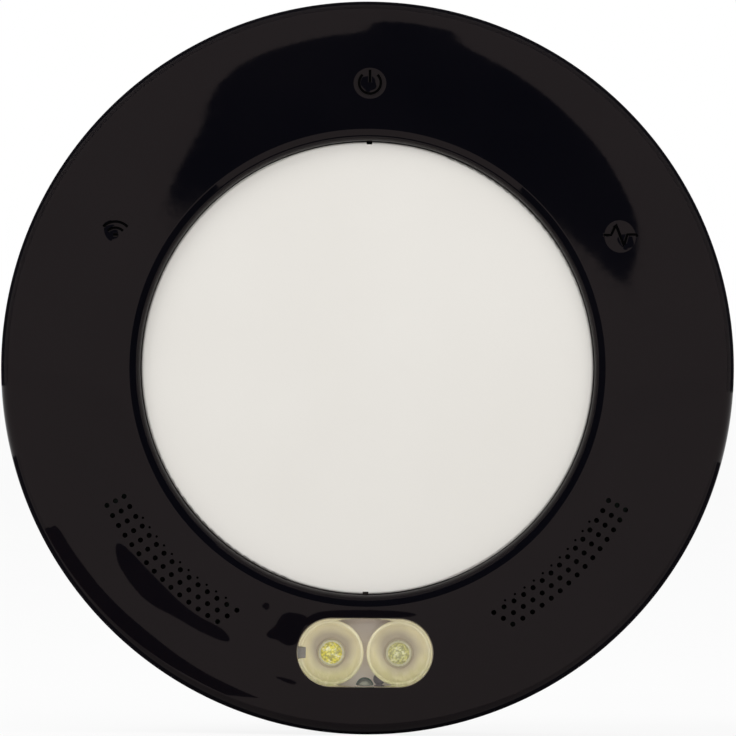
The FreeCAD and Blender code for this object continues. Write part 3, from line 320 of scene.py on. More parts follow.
# moulded and printed surfaces: colour, its other shade, roughness from and to, grains per metre, bump
mouldedSizes = {
    "trayGrey": ((0.792, 0.684, 0.634), (0.900, 0.832, 0.759), (0.42, 0.55), 900, 0.04),
    "boardGreen": ((0.012, 0.09, 0.04), (0.02, 0.16, 0.075), (0.25, 0.4), 500, 0.05),
    "headerBlack": ((0.012, 0.012, 0.013), (0.02, 0.02, 0.021), (0.42, 0.6), 1400, 0.06),
    "foamBlack": ((0.012, 0.012, 0.012), (0.03, 0.03, 0.031), (0.85, 0.98), 2600, 0.35),
    "speakerBlack": ((0.016, 0.016, 0.017), (0.026, 0.026, 0.027), (0.45, 0.6), 1200, 0.06),
    "surroundRubber": ((0.015, 0.015, 0.016), (0.024, 0.024, 0.024), (0.5, 0.66), 900, 0.05),
    "chipBlack": ((0.014, 0.014, 0.015), (0.024, 0.024, 0.025), (0.5, 0.7), 2600, 0.08),
    "relayBlue": ((0.014, 0.085, 0.30), (0.02, 0.12, 0.40), (0.34, 0.48), 900, 0.05),
    "sleeveBlack": ((0.02, 0.02, 0.035), (0.035, 0.035, 0.055), (0.24, 0.34), 500, 0.04),
    "ferriteGrey": ((0.045, 0.045, 0.047), (0.085, 0.083, 0.082), (0.55, 0.75), 2200, 0.2),
    "inletBlack": ((0.012, 0.012, 0.013), (0.02, 0.02, 0.021), (0.32, 0.46), 1200, 0.05),
    "terminalGreen": ((0.02, 0.23, 0.08), (0.03, 0.31, 0.115), (0.36, 0.5), 1000, 0.05),
    "buttonOrange": ((0.78, 0.22, 0.02), (0.88, 0.30, 0.035), (0.36, 0.5), 1000, 0.05),
    "beadGreen": ((0.62, 0.66, 0.55), (0.74, 0.78, 0.68), (0.3, 0.5), 1500, 0.1),
    # painted shade: the dark pad stands in for the shadow between the right cup and the tray
    "padMauve": ((0.16, 0.11, 0.14), (0.24, 0.18, 0.21), (0.3, 0.5), 1500, 0.06),
    "lampRing": ((0.66, 0.63, 0.44), (0.76, 0.73, 0.56), (0.22, 0.34), 1500, 0.03),
    "keyGrey": ((0.19, 0.165, 0.145), (0.26, 0.23, 0.205), (0.4, 0.55), 1500, 0.05),
    "ledWhite": ((0.80, 0.80, 0.74), (0.86, 0.85, 0.80), (0.25, 0.35), 1500, 0.03),
}
for name, (colour, other, gloss, grain, lift) in mouldedSizes.items():
    where = startFinish(name)
    fine = noiseOf(where, grain, 4.0, 0.6)
    broad = noiseOf(where, 45, 2.0)
    dress(where, mottled(broad, colour, other), spread(fine, *gloss), fine, (lift, 0.0004))

# metals: colour, its other shade, roughness from and to, and how the fine lines are stretched
metalSizes = {
    "plainSteel": ((0.50, 0.49, 0.48), (0.62, 0.61, 0.60), (0.26, 0.42), (1, 1, 12)),
    "platedBrass": ((0.62, 0.44, 0.17), (0.75, 0.57, 0.27), (0.2, 0.36), (1, 8, 1)),
    "magnetSteel": ((0.36, 0.36, 0.37), (0.48, 0.48, 0.48), (0.24, 0.4), (6, 1, 1)),
    "shieldTin": ((0.52, 0.52, 0.50), (0.64, 0.64, 0.61), (0.3, 0.46), (1, 1, 9)),
}
for name, (colour, other, gloss, stretch) in metalSizes.items():
    where = startFinish(name)
    lines = noiseOf(stretched(where, stretch), 1600, 3.0, 0.6)
    dress(where, mottled(noiseOf(where, 160, 2.0), colour, other), spread(lines, *gloss), lines, (0.12, 0.0001),
          {"Metallic": 1.0})


# surfaces of one grain: its noise, the noise of the colour, two colours, roughness from and to, bump, the rest
grainSizes = {
    # polished black moulding with a faint warm cast and the least orange peel
    "glossRing": ((420, 2.0), (30, 2.0), (0.0020, 0.0020, 0.0034), (0.0030, 0.0028, 0.0042), (0.035, 0.06),
                  (0.012, 0.0002), {"Specular IOR Level": 0.17, "Specular Tint": (1.0, 0.80, 0.74, 1.0)}),
    # off-white, finely spark-eroded, a little warmer in broad clouds
    "satinCover": ((1500, 4.0, 0.65), (22, 2.0), (0.778, 0.752, 0.706), (0.802, 0.778, 0.734), (0.5, 0.64),
                   (0.05, 0.0003), {"Specular IOR Level": 0.3}),
    # unlit smoked inlay of the symbols: close to black, hardly any gloss
    "smokedInlay": ((1800, 3.0, 0.6), (1800, 3.0, 0.6), (0.0004, 0.0004, 0.0005), (0.0016, 0.0015, 0.0017),
                    (0.5, 0.7), (0.05, 0.0002), {"Specular IOR Level": 0.02}),
    # clear moulding: light goes straight through, the gloss stays
    "clearWindow": ((240, 2.0), (240, 2.0), (0.985, 0.987, 0.98), (0.997, 0.997, 0.993), (0.01, 0.03),
                    (0.01, 0.0002), {"Transmission Weight": 1.0, "IOR": 1.42}),
    # matt side of the clear moulding, cream where the cups show in it, with a painted glow that makes the bright
    # highlight line round the window
    "frostedEdge": ((1800, 3.0, 0.6), (1800, 3.0, 0.6), (0.72, 0.69, 0.55), (0.84, 0.81, 0.68), (0.5, 0.7),
                    (0.05, 0.0003), {"Emission Strength": 0.12}),
    "clearPipe": ((500,), (500,), (0.86, 0.88, 0.88), (0.93, 0.94, 0.94), (0.04, 0.12), (0.03, 0.0002),
                  {"Transmission Weight": 0.85, "IOR": 1.49}),
}
for name, (grain, cloud, colour, other, gloss, bump, more) in grainSizes.items():
    where = startFinish(name)
    fine = noiseOf(where, *grain)
    dress(where, mottled(noiseOf(where, *cloud), colour, other), spread(fine, *gloss), fine, bump, more)


def addSparkHousing():
    # black moulding with a fine spark-eroded skin: small craters over a soft mottle
    where = startFinish("sparkHousing")
    craters = cellsOf(where, 2600)
    colour = mottled(noiseOf(where, 60, 3.0, 0.55), (0.016, 0.016, 0.017), (0.027, 0.027, 0.028))
    dress(where, colour, spread(craters, 0.48, 0.68, 0.0, 0.6), craters, (0.22, 0.00008))


def addShadedGlowingCup():
    # frosted reflector: painted shade brownish round the lamp, cream further out, darker and yellower low in the cup,
    # all under a faint painted glow
    where = startFinish("frostedCup")
    fine = noiseOf(where, 2400, 3.0, 0.6)
    height = axisOf(where, "Z")
    x = axisOf(where, "X").do("ABSOLUTE") - 0.0071
    z = height + 0.0601
    away = (x * x + z * z).do("SQRT") + (noiseOf(where, 160, 2.0) - 0.5) * 0.002
    low = spread(height, 1.0, 0.0, -0.0668, -0.0585)
    cream = blendColours(low, (0.86, 0.77, 0.50), (0.52, 0.48, 0.21))
    streaks = noiseOf(stretched(where, (3.0, 1.0, 1.0), (0.0, 0.6, 0.0)), 420, 4.0, 0.65)
    cream = blendColours(spread(streaks, 0.0, 0.45, 0.45, 0.7), cream, (0.84, 0.76, 0.58))
    # painted shade: the brownish ring reaches further out in the upper part of the cup
    away = away - spread(height, 0.0, 0.0012, -0.0615, -0.0575)
    # painted shade: brownish close round the lamp, cream further out
    colour = blendColours(spread(away, 0.0, 1.0, 0.0027, 0.0050), (0.42, 0.35, 0.25), cream)
    # the slight emission is a painted glow that brightens the cup behind the window
    dress(where, colour, spread(fine, 0.34, 0.5), fine, (0.06, 0.0003), {"Emission Strength": 0.14})


def addPhosphor(name, deep, bright, pale):
    # clear dome over a yellow crystal mass with deep lines under a wet gloss, with painted glints in the pale colour
    # and a faint painted glow
    where = startFinish(name)
    crystals = cellsOf(where, 1900)
    paintedGlints = noiseOf(stretched(where, (1.0, 1.0, 1.6), (0.0, 0.5, 0.0)), 900, 4.0, 0.7)
    colour = blendColours(spread(crystals, 0.0, 1.0, 0.35, 0.7), bright, deep)
    # painted highlights: pale glints over the crystals
    colour = blendColours(spread(paintedGlints, 0.0, 1.0, 0.52, 0.66), colour, pale)
    # the emission is a painted glow
    dress(where, colour, spread(crystals, 0.12, 0.3, 0.0, 0.8), crystals, (0.35, 0.0003),
          {"Emission Strength": 0.25, "Coat Weight": 0.6, "Coat Roughness": 0.05})


def addConePaper():
    where = startFinish("conePaper")
    fibres = noiseOf(stretched(where, (1.0, 5.0, 2.0), (0.4, 0.2, 0.7)), 900, 6.0, 0.7)
    dress(where, mottled(fibres, (0.045, 0.044, 0.042), (0.10, 0.098, 0.094)), spread(fibres, 0.8, 0.95), fibres,
          (0.3, 0.0004))


addSparkHousing()
addShadedGlowingCup()
addConePaper()
addPhosphor("lampDome", (0.34, 0.30, 0.02), (0.74, 0.66, 0.05), (0.88, 0.86, 0.62))
addPhosphor("lampDomePale", (0.26, 0.25, 0.08), (0.54, 0.52, 0.19), (0.74, 0.71, 0.46))

# the record's slots and the finish that each one wears
slotFinishes = {
    "gloss_black": "glossRing", "satin_white": "satinCover", "clear_lens": "clearWindow",
    "tray_grey": "trayGrey", "frosted_cup": "frostedCup", "lamp_phosphor": "lampDome",
    "board_green": "boardGreen", "steel": "plainSteel", "pin_brass": "platedBrass",
    "header_black": "headerBlack", "foam_black": "foamBlack", "speaker_black": "speakerBlack",
    "surround_rubber": "surroundRubber", "cone_paper": "conePaper", "magnet_steel": "magnetSteel",
    "clear_pipe": "clearPipe", "led_white": "ledWhite", "chip_black": "chipBlack",
    "shield_tin": "shieldTin", "relay_blue": "relayBlue", "capacitor_sleeve": "sleeveBlack",
    "ferrite": "ferriteGrey", "inlet_black": "inletBlack", "terminal_green": "terminalGreen",
    "button_orange": "buttonOrange", "housing_black": "sparkHousing",
}
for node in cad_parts.values():
    for place in node.material_slots:
        plain = place.material.name.split(".")[0] if place.material else ""
        if plain in slotFinishes:
            place.material = finishes[slotFinishes[plain]]
        else:
            print("no finish for", node.name, plain)
print("finishes done")


# Face ring: crowned band, rolled rim, bevel down to the cover's seat
ringSize = {
    "faceR": 77.5, "seatR": 47.9, "bevelR": 2.6, "rimW": 2.3, "rimH": 3.1, "outerDrop": 2.6,
    "faceDepth": 38.0, "partingR": 76.4, "partingDepth": 22.0, "wall": 2.4, "skirtInR": 74.0,
    "seatWallR": 50.2, "ledgeR": 44.0, "ledgeDepth": 33.2, "ledgeWall": 1.8,
    "cornerOut": 1.6, "cornerDrop": 0.9, "steps": 360, "bevelSteps": 10, "crownSteps": 22, "rimSteps": 9,
    "keepInR": 49.1, "keepOutR": 74.4, "keepLow": 22.4, "keepLedge": 32.3, "keepSteps": 12, "skin": 1.2,
}
crownInnerR = ringSize["seatR"] + ringSize["bevelR"]
creaseR = ringSize["faceR"] - ringSize["rimW"]
crownArcR = ((creaseR - crownInnerR) ** 2 + ringSize["outerDrop"] ** 2) / (2 * ringSize["outerDrop"])
rimArcR = (ringSize["rimW"] ** 2 + ringSize["rimH"] ** 2) / (2 * ringSize["rimW"])
rimDepth = ringSize["faceDepth"] - ringSize["outerDrop"] - ringSize["rimH"]
featureR = 60.1  # the lamps, grilles and symbols all sit about this circle


def crownDepth(radius):
    # level at the crown's inner edge, falling evenly towards the rim
    return ringSize["faceDepth"] - crownArcR + math.sqrt(crownArcR ** 2 - (radius - crownInnerR) ** 2)


def ringOutline():
    # the shown side from the seat out to the parting line, with the normal at each point
    size = ringSize
    foot = size["faceDepth"] - size["bevelR"]
    shown = [((size["seatR"], size["ledgeDepth"]), (-1.0, 0.0)), ((size["seatR"], foot - 0.001), (-1.0, 0.0))]

    def addArc(centre, radius, points):
        for point in points:
            shown.append((point, ((point[0] - centre[0]) / radius, (point[1] - centre[1]) / radius)))

    bevelAt = (crownInnerR, foot)
    addArc(bevelAt, size["bevelR"], arcPoints(bevelAt, size["bevelR"], 180, 90, size["bevelSteps"]))
    for index in range(1, size["crownSteps"] + 1):
        radius = crownInnerR + (creaseR - crownInnerR) * index / size["crownSteps"]
        tilt = math.asin((radius - crownInnerR) / crownArcR)
        shown.append(((radius, crownDepth(radius)), (math.sin(tilt), math.cos(tilt))))
    rimAt = (size["faceR"] - rimArcR, rimDepth)
    start = math.degrees(math.asin(size["rimH"] / rimArcR))
    addArc(rimAt, rimArcR, arcPoints(rimAt, rimArcR, start, 0, size["rimSteps"])[1:])
    flank = Vector((size["faceR"] - size["partingR"], rimDepth - size["partingDepth"])).normalized()
    shown.append(((size["partingR"], size["partingDepth"]), (flank.y, -flank.x)))
    return shown


def hiddenOutline():
    # the inner side, from the parting line back to the seat
    size = ringSize
    cornerR = creaseR - size["wall"]
    hidden = [(size["skirtInR"], size["partingDepth"]), (size["faceR"] - size["wall"], rimDepth)]
    hidden.append((cornerR + size["cornerOut"], crownDepth(cornerR) - size["wall"] - size["cornerDrop"]))
    for index in range(9):
        radius = cornerR + (size["seatWallR"] - cornerR) * index / 8
        hidden.append((radius, crownDepth(radius) - size["wall"]))
    low = size["ledgeDepth"] - size["ledgeWall"]
    return hidden + [(size["seatWallR"], low), (size["ledgeR"], low), (size["ledgeR"], size["ledgeDepth"])]


grilleSize = {
    "rows": 3, "holes": 15, "rowPitch": 2.05, "holePitch": 2.45, "holeR": 0.55,
    "startDeg": 44.6538, "low": 33.8, "high": 39.0, "sides": 14,
}


def grilleTree():
    # one pin for each hole: rows on arcs that start side by side, then the same on the other side
    tree, get, output = startTree("grillePins", {
        "Rows": "Int", "Holes": "Int", "Row radius": "Float", "Row pitch": "Float", "Hole pitch": "Float",
        "Start": "Float", "Hole radius": "Float", "Length": "Float", "Middle depth": "Float", "Sides": "Int",
    })
    perSide = get["Rows"] * get["Holes"]
    index = addNode(tree, "GeometryNodeInputIndex", {})
    side = ((index + 0.5) / perSide).do("FLOOR")
    inSide = index - side * perSide
    row = ((inSide + 0.5) / get["Holes"]).do("FLOOR")
    radius = get["Row radius"] + row * get["Row pitch"]
    angle = get["Start"] + (inSide - row * get["Holes"]) * (get["Hole pitch"] / radius)
    x = (side * -2.0 + 1.0) * radius * angle.do("COSINE")
    z = radius * angle.do("SINE") * -1.0
    points = addNode(tree, "GeometryNodePoints", {
        "Count": perSide * 2.0, "Position": joinedAxes(tree, x, get["Middle depth"] * -1.0, z)})
    pin = addNode(tree, "GeometryNodeMeshCylinder", {
        "Vertices": get["Sides"], "Radius": get["Hole radius"], "Depth": get["Length"]}, "Mesh")
    return finishTree(tree, points, pin, (math.pi / 2, 0.0, 0.0), output, finishes["glossRing"])


def grilleRows(name, rows, firstRow, startAngle, size):
    # rows of pins on both sides, grown from the tree
    return growFromTree(name, grilleTree(), {
        "Rows": rows, "Holes": size["holes"], "Row radius": firstRow * mm,
        "Row pitch": grilleSize["rowPitch"] * mm, "Hole pitch": grilleSize["holePitch"] * mm,
        "Start": startAngle, "Hole radius": size["holeR"] * mm, "Length": (size["high"] - size["low"]) * mm,
        "Middle depth": (size["high"] + size["low"]) / 2 * mm, "Sides": size["sides"],
    })


def grillePins():
    size = grilleSize
    half = (size["holes"] - 1) / 2
    firstRow = featureR - size["rowPitch"] * (size["rows"] - 1) / 2
    start = math.radians(size["startDeg"]) - half * size["holePitch"] / featureR
    return grilleRows("grillePins", size["rows"], firstRow, start, size)


pitSize = {"holes": 11, "radius": 56.95, "startDeg": 34.2, "holeR": 0.27, "low": 36.0, "high": 38.6, "sides": 8}


def grillePits():
    # one short row of tiny pits along the inside of each grille
    return grilleRows("grillePits", 1, pitSize["radius"], math.radians(pitSize["startDeg"]), pitSize)


windowSize = {"halfGap": 7.1, "radius": 7.35, "low": 31.0, "high": 40.0, "roundSteps": 48}


def stadiumPoints(radius):
    # (x, z) points round a stadium about the lamps' middle
    gap, steps = windowSize["halfGap"], windowSize["roundSteps"]
    return (arcPoints((gap, -featureR), radius, -90, 90, steps)
            + arcPoints((-gap, -featureR), radius, 90, 270, steps))


def windowCutter():
    points = stadiumPoints(windowSize["radius"])
    count = len(points)
    vertices = [spot(x, windowSize[end], z) for end in ("low", "high") for x, z in points]
    faces = [list(range(count)), list(range(2 * count - 1, count - 1, -1))]
    for index in range(count):
        after = (index + 1) % count
        faces.append([index, after, count + after, count + index])
    return closedObject("windowCutter", vertices, faces)


iconSize = {
    "angles": {"activity": 28.0, "power": 90.0, "network": 151.0}, "dimpleR": 3.5, "dimpleDepth": 0.4,
    "pocketR": 3.0, "pocketLow": 30.95, "skin": 0.8, "steps": 72, "rings": 14,
    "edgeR": 0.60, "edgeLift": 0.45, "lineR": 0.28, "lineLift": -0.04, "toolSides": 12,
}


def dimpleBall(degrees):
    # the ball that hollows a dimple square to the crown: its centre and radius, in mm
    size = iconSize
    ballR = (size["dimpleR"] ** 2 + size["dimpleDepth"] ** 2) / (2 * size["dimpleDepth"])
    share = (crownArcR + ballR - size["dimpleDepth"]) / crownArcR
    arcDepth = ringSize["faceDepth"] - crownArcR
    out = crownInnerR + (featureR - crownInnerR) * share
    up = arcDepth + (crownDepth(featureR) - arcDepth) * share
    return fromPolar(out, degrees, up) / mm, ballR


def dimpleCutter(degrees):
    # the ball's lower cap, closed by a flat lid above the crown
    count, rings = iconSize["steps"], iconSize["rings"]
    centre, ballR = dimpleBall(degrees)
    aim = (fromPolar(featureR, degrees, crownDepth(featureR)) / mm - centre).normalized()
    across = aim.cross(Vector((0.3, 0.1, 0.9))).normalized()
    other = aim.cross(across)
    reach = math.asin(min(1.0, (iconSize["dimpleR"] + 0.8) / ballR))
    vertices = [(centre + aim * ballR) * mm]
    faces = []
    for ring in range(1, rings + 1):
        lean = reach * ring / rings
        for step in range(count):
            angle = 2 * math.pi * step / count
            flat = across * math.cos(angle) + other * math.sin(angle)
            vertices.append((centre + (aim * math.cos(lean) + flat * math.sin(lean)) * ballR) * mm)
    for step in range(count):
        after = (step + 1) % count
        faces.append([0, 1 + step, 1 + after])
        for ring in range(rings - 1):
            low, high = 1 + ring * count, 1 + (ring + 1) * count
            faces.append([low + step, high + step, high + after, low + after])
    faces.append([1 + (rings - 1) * count + step for step in range(count)])
    return closedObject("dimpleCutter", vertices, faces)


def strokeTube(path, radius, sides):
    # a closed round tool along a path of points, all in metres
    vertices, faces = [], []
    for index, point in enumerate(path):
        way = (path[min(index + 1, len(path) - 1)] - path[max(index - 1, 0)]).normalized()
        side = way.cross(Vector((0, 1, 0))).normalized()
        top = side.cross(way).normalized()
        for step in range(sides):
            angle = 2 * math.pi * (step + 0.5) / sides
            vertices.append(point + (side * math.cos(angle) + top * math.sin(angle)) * radius)
    for low in range(0, len(vertices) - sides, sides):
        for step in range(sides):
            other = (step + 1) % sides
            faces.append([low + step, low + other, low + sides + other, low + sides + step])
    faces.append(list(range(sides)))
    faces.append([len(vertices) - 1 - step for step in range(sides)])
    return closedObject("stroke", vertices, faces)


def shownDepth(x, z):
    # depth of the crown, dimples taken in, at a place on the face in mm
    depth = crownDepth(math.hypot(x, z))
    for degrees in iconSize["angles"].values():
        centre, ballR = dimpleBall(degrees)
        away = math.hypot(x - centre.x, z - centre.z)
        if away < ballR:
            depth = min(depth, -centre.y - math.sqrt(ballR ** 2 - away ** 2))
    return depth


def iconStrokes():
    # lines of the three generic symbols: power, wireless and a pulse, as lists of (x, z) in mm
    powerZ = 60.2
    power = [arcPoints((0.0, powerZ), 2.3, 133, 407, 40),
             [(0.0, powerZ + 0.1), (0.0, powerZ + 1.4), (0.0, powerZ + 2.75)]]
    foot = (-53.45, 26.95)
    wireless = [arcPoints(foot, reach, 90 + half, 90 - half, 14) for reach, half in ((3.5, 47), (2.2, 46))]
    wireless.append([(foot[0] - 0.45, foot[1] + 0.75), (foot[0] + 0.45, foot[1] + 0.75)])
    pulse = [[(49.55, 28.5), (51.15, 28.5), (52.15, 30.65), (53.9, 26.3), (54.6, 28.65),
              (56.4, 28.65), (56.75, 28.25)]]
    return power + wireless + pulse


def strokeCutters(radius, lift):
    # round tools along the symbols' lines, their middles this far above the shown face
    tools = []
    for line in iconStrokes():
        fine = []
        for first, second in zip(line, line[1:]):
            for part in (0.0, 0.25, 0.5, 0.75):
                fine.append((first[0] + (second[0] - first[0]) * part, first[1] + (second[1] - first[1]) * part))
        fine.append(line[-1])
        path = [spot(x, shownDepth(x, z) + lift, z) for x, z in fine]
        tools.append(strokeTube(path, radius * mm, iconSize["toolSides"]))
    return joinAll("strokes", tools)


def addTwoFinishes(thing, index):
    # gloss, and the smoked inlay as the second; every face takes the one with this index
    thing.data.materials.clear()
    for name in ("glossRing", "smokedInlay"):
        thing.data.materials.append(finishes[name])
    for polygon in thing.data.polygons:
        polygon.material_index = index
    return thing


def makeRing():
    size, icon = ringSize, iconSize
    shown = ringOutline()
    ring = turnedSolid("face_ring", [point for point, normal in shown] + hiddenOutline(), size["steps"])
    # the bosses and clips inside come from the CAD ring, kept below the new ring's skin
    inner = cadCopy("front_bezel", "ringInside")
    low, ledge, inR, outR = (size["keep" + end] for end in ("Low", "Ledge", "InR", "OutR"))
    keep = [(size["ledgeR"], low), (size["ledgeR"], ledge), (inR, ledge)]
    for index in range(size["keepSteps"] + 1):
        radius = inR + (outR - inR) * index / size["keepSteps"]
        keep.append((radius, crownDepth(radius) - size["skin"]))
    keep.append((outR, low))
    combine(inner, turnedSolid("ringKeep", keep, 120), "INTERSECT")
    combine(ring, inner, "UNION")
    addTwoFinishes(ring, 0)
    cutters = [grillePins(), windowCutter()]
    top = crownDepth(featureR) - icon["dimpleDepth"] - icon["skin"]
    pocket = [(0.0, icon["pocketLow"]), (icon["pocketR"], icon["pocketLow"]), (icon["pocketR"], top), (0.0, top)]
    for degrees in icon["angles"].values():
        (at,) = arcPoints((0.0, 0.0), featureR, degrees, degrees, 1)[:1]
        cutters.append(turnedSolid("pocketCutter", pocket, 48, centre=at))
    cutters.extend(dimpleCutter(degrees) for degrees in icon["angles"].values())
    combine(ring, joinAll("cutters", cutters), "DIFFERENCE")
    combine(ring, strokeCutters(icon["edgeR"], icon["edgeLift"]), "DIFFERENCE")
    dark = joinAll("darkCuts", [strokeCutters(icon["lineR"], icon["lineLift"]), grillePits()])
    combine(ring, addTwoFinishes(dark, 1), "DIFFERENCE")
    shadeRing(ring, shown)
    return ring


def shadeRing(ring, shown):
    # true normals on the turned faces and dimples, so that the gloss runs unbroken
    mesh = ring.data
    points = np.array([point for point, normal in shown])
    normals = np.array([normal for point, normal in shown])
    starts, ways = points[:-1], points[1:] - points[:-1]
    lengths = (ways ** 2).sum(axis=1)
    flat = np.stack([ways[:, 1] * -1, ways[:, 0]], axis=1) / np.sqrt(lengths)[:, None]
    places = np.empty(len(mesh.vertices) * 3)
    mesh.vertices.foreach_get("co", places)
    places = places.reshape(-1, 3) / mm
    radii = np.hypot(places[:, 0], places[:, 2])
    balls = [dimpleBall(degrees) for degrees in iconSize["angles"].values()]
    custom = [None] * len(mesh.loops)
    nearBall, nearTurned, alikeBall, alikeTurned = 0.004, 0.012, 0.98, 0.97  # mm, and cosines
    creaseIndex = 2 + ringSize["bevelSteps"] + ringSize["crownSteps"]
    rimMiddle = np.array([ringSize["faceR"] - rimArcR, rimDepth])
    for polygon in mesh.polygons:
        polygon.use_smooth = True
        centre = polygon.center / mm
        out = max(math.hypot(centre.x, centre.z), 1e-6)
        ball = None
        for middle, ballR in balls:
            inward = (middle - centre) / ballR
            if abs((centre - middle).length - ballR) < nearBall and polygon.normal.dot(inward) > alikeBall:
                ball = middle
        here = np.array([out, -centre.y])
        share = ((here - starts) * ways).sum(axis=1) / lengths
        away = np.hypot(*(here - (starts + ways * np.clip(share, 0, 1)[:, None])).T)
        best = int(away.argmin())
        turned = Vector((flat[best][0] * centre.x / out, -flat[best][1], flat[best][0] * centre.z / out))
        onTurned = away[best] < nearTurned and abs(polygon.normal.dot(turned)) > alikeTurned
        for loop in polygon.loop_indices:
            vertex = mesh.loops[loop].vertex_index
            if ball is not None:
                custom[loop] = (ball - Vector(places[vertex])).normalized()
            elif onTurned and best > 0:
                corner = np.array([radii[vertex], -places[vertex][1]])
                part = float(np.clip(((corner - starts[best]) * ways[best]).sum() / lengths[best], 0, 1))
                first, second = normals[best], normals[best + 1]
                if best == len(normals) - 2:
                    first = second
                if best == creaseIndex:
                    first = second = (corner - rimMiddle) / np.hypot(*(corner - rimMiddle))
                mixed = first * (1 - part) + second * part
                x, z = places[vertex][0] / radii[vertex], places[vertex][2] / radii[vertex]
                custom[loop] = Vector((mixed[0] * x, -mixed[1], mixed[0] * z)).normalized()
            else:
                custom[loop] = polygon.normal.copy()
    mesh.normals_split_custom_set([tuple(n) for n in custom])
    mesh.update()


faceRing = makeRing()
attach(faceRing, "housing")
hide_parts("front_bezel")
print("face ring done:", len(faceRing.data.polygons), "faces")


# Clear window: a stadium shell whose top follows the crown, standing a little proud of it
lensSize = {
    "outerR": 7.2, "innerR": 6.92, "flangeR": 8.55, "low": 32.6, "flangeTop": 34.0,
    "proud": 0.25, "frontWall": 1.4, "edgeR": 0.5, "edgeSteps": 6,
}
windowTop = crownDepth(featureR + windowSize["radius"])  # the crown at the window's outer edge
lensInside = windowTop + lensSize["proud"] - lensSize["frontWall"]


def makeLens():
    size = lensSize

    def flatLoop(radius, depth):
        return [spot(x, depth, z) for x, z in stadiumPoints(radius)]

    def crownedLoop(radius, lift):
        return [spot(x, crownDepth(math.hypot(x, z)) + lift, z) for x, z in stadiumPoints(radius)]

    loops = [flatLoop(size["innerR"], lensInside), flatLoop(size["innerR"], size["low"]),
             flatLoop(size["flangeR"], size["low"]), flatLoop(size["flangeR"], size["flangeTop"]),
             flatLoop(size["outerR"], size["flangeTop"])]
    for step in range(size["edgeSteps"] + 1):
        angle = math.pi / 2 * step / size["edgeSteps"]
        inset, drop = size["edgeR"] * (1 - math.cos(angle)), size["edgeR"] * (1 - math.sin(angle))
        loops.append(crownedLoop(size["outerR"] - inset, size["proud"] - drop))
    loops += [crownedLoop(radius, size["proud"]) for radius in (5.4, 4.0, 2.6, 1.2, 0.02)]
    topLine = len(loops) - 1
    loops += [flatLoop(radius, lensInside) for radius in (0.02, 3.3)]
    count = len(loops[0])
    faces = []
    for index in range(len(loops)):
        if index == topLine:
            continue
        here, after = index * count, (index + 1) % len(loops) * count
        for step in range(count):
            other = (step + 1) % count
            faces.append([here + step, here + other, after + other, after + step])
    faces += [list(range(line * count, (line + 1) * count)) for line in (topLine, topLine + 1)]
    lens = closedObject("lamp_window", sum(loops, []), faces, finishes["clearWindow"], True)
    # the window's side is frosted, and its painted glow shows as a pale highlight line round its edge
    lens.data.materials.append(finishes["frostedEdge"])
    for polygon in lens.data.polygons:
        x, depth, z = polygon.center.x / mm, -polygon.center.y / mm, polygon.center.z / mm + featureR
        out = math.hypot(max(abs(x) - windowSize["halfGap"], 0.0), z)
        if abs(out - size["outerR"]) < 0.03 and depth < windowTop + 0.1:
            polygon.material_index = 1
    return sharpen(lens, 50)


lens = makeLens()
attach(lens, "housing")
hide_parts("lamp_lens")
print("lamp window done")


# Lamp cups: trumpet-shaped reflectors with a rounded lip, a seat ring at the lamp and a key notch on the left
cupSize = {
    "mouthR": 6.78, "throatR": 2.75, "collarR": 3.4, "wall": 0.7, "bulge": 0.9, "base": 30.2,
    "neck": 31.2, "lip": 0.3, "notchW": 1.6, "notchH": 2.6, "notchDepth": 1.5, "steps": 96,
}


def bowed(start, end, bulge, count):
    # points of an arc between two points, to the right of the way by the bulge
    dx, dy = end[0] - start[0], end[1] - start[1]
    length = math.hypot(dx, dy)
    points = []
    for index in range(count + 1):
        part = index / count
        swell = 4 * part * (1 - part) * bulge
        points.append((start[0] + dx * part + swell * dy / length, start[1] + dy * part - swell * dx / length))
    return points


def makeCup(side, name):
    size = cupSize
    mouth = lensInside - 0.2
    throat, neck, brim = size["throatR"], size["neck"], mouth - size["lip"]
    outline = [(throat, size["base"]), (size["collarR"], size["base"])]
    outline += bowed((size["collarR"], neck), (size["mouthR"], brim), size["bulge"], 14)
    lipR = size["wall"] / 2
    for step in range(1, 8):
        angle = math.pi * step / 8
        outline.append((size["mouthR"] - lipR + lipR * math.cos(angle), brim + size["lip"] * math.sin(angle)))
    inside = bowed((throat + 0.55, neck + 0.35), (size["mouthR"] - size["wall"], brim), size["bulge"], 18)
    outline += inside[::-1]
    outline += [(throat + 0.32, neck + 0.2), (throat + 0.25, neck + 0.55), (throat + 0.08, neck + 0.62),
                (throat, neck + 0.5)]
    x = side * windowSize["halfGap"]
    cup = turnedSolid(name, outline, size["steps"], finishes["frostedCup"], True, (x, -featureR))
    if side < 0:
        edge, half = x - size["mouthR"], size["notchH"] / 2
        notch = boxTool("notchCutter", (edge - 1, edge + size["notchW"]), (mouth - size["notchDepth"], mouth + 1),
                        (-featureR - half, -featureR + half))
        combine(cup, notch, "DIFFERENCE")
    return sharpen(cup, 35)


for side, word in ((-1, "left"), (1, "right")):
    cup = makeCup(side, word + "_cup")
    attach(cup, "housing")
    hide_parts(word + "_lamp_reflector")


keySize = {"width": 1.35, "height": 2.3, "low": 34.0, "high": 35.05, "edge": 0.16, "outside": 0.05}


def makeKey():
    # the small moulded key that stands in the left cup's notch
    size = keySize
    left, half = size["outside"] - windowSize["halfGap"] - cupSize["mouthR"], size["height"] / 2
    key = boxTool("cup_key", (left, left + size["width"]), (size["low"], size["high"]),
                  (-featureR - half, -featureR + half))

    def ease(work):
        bmesh.ops.bevel(work, geom=list(work.edges), offset=size["edge"] * mm, segments=3, affect="EDGES",
                        profile=0.5)
        bmesh.ops.recalc_face_normals(work, faces=work.faces)

    reworked(key, ease).data.materials.append(finishes["keyGrey"])
    return sharpen(key, 60)


key = makeKey()
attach(key, "housing")
print("lamp cups done")


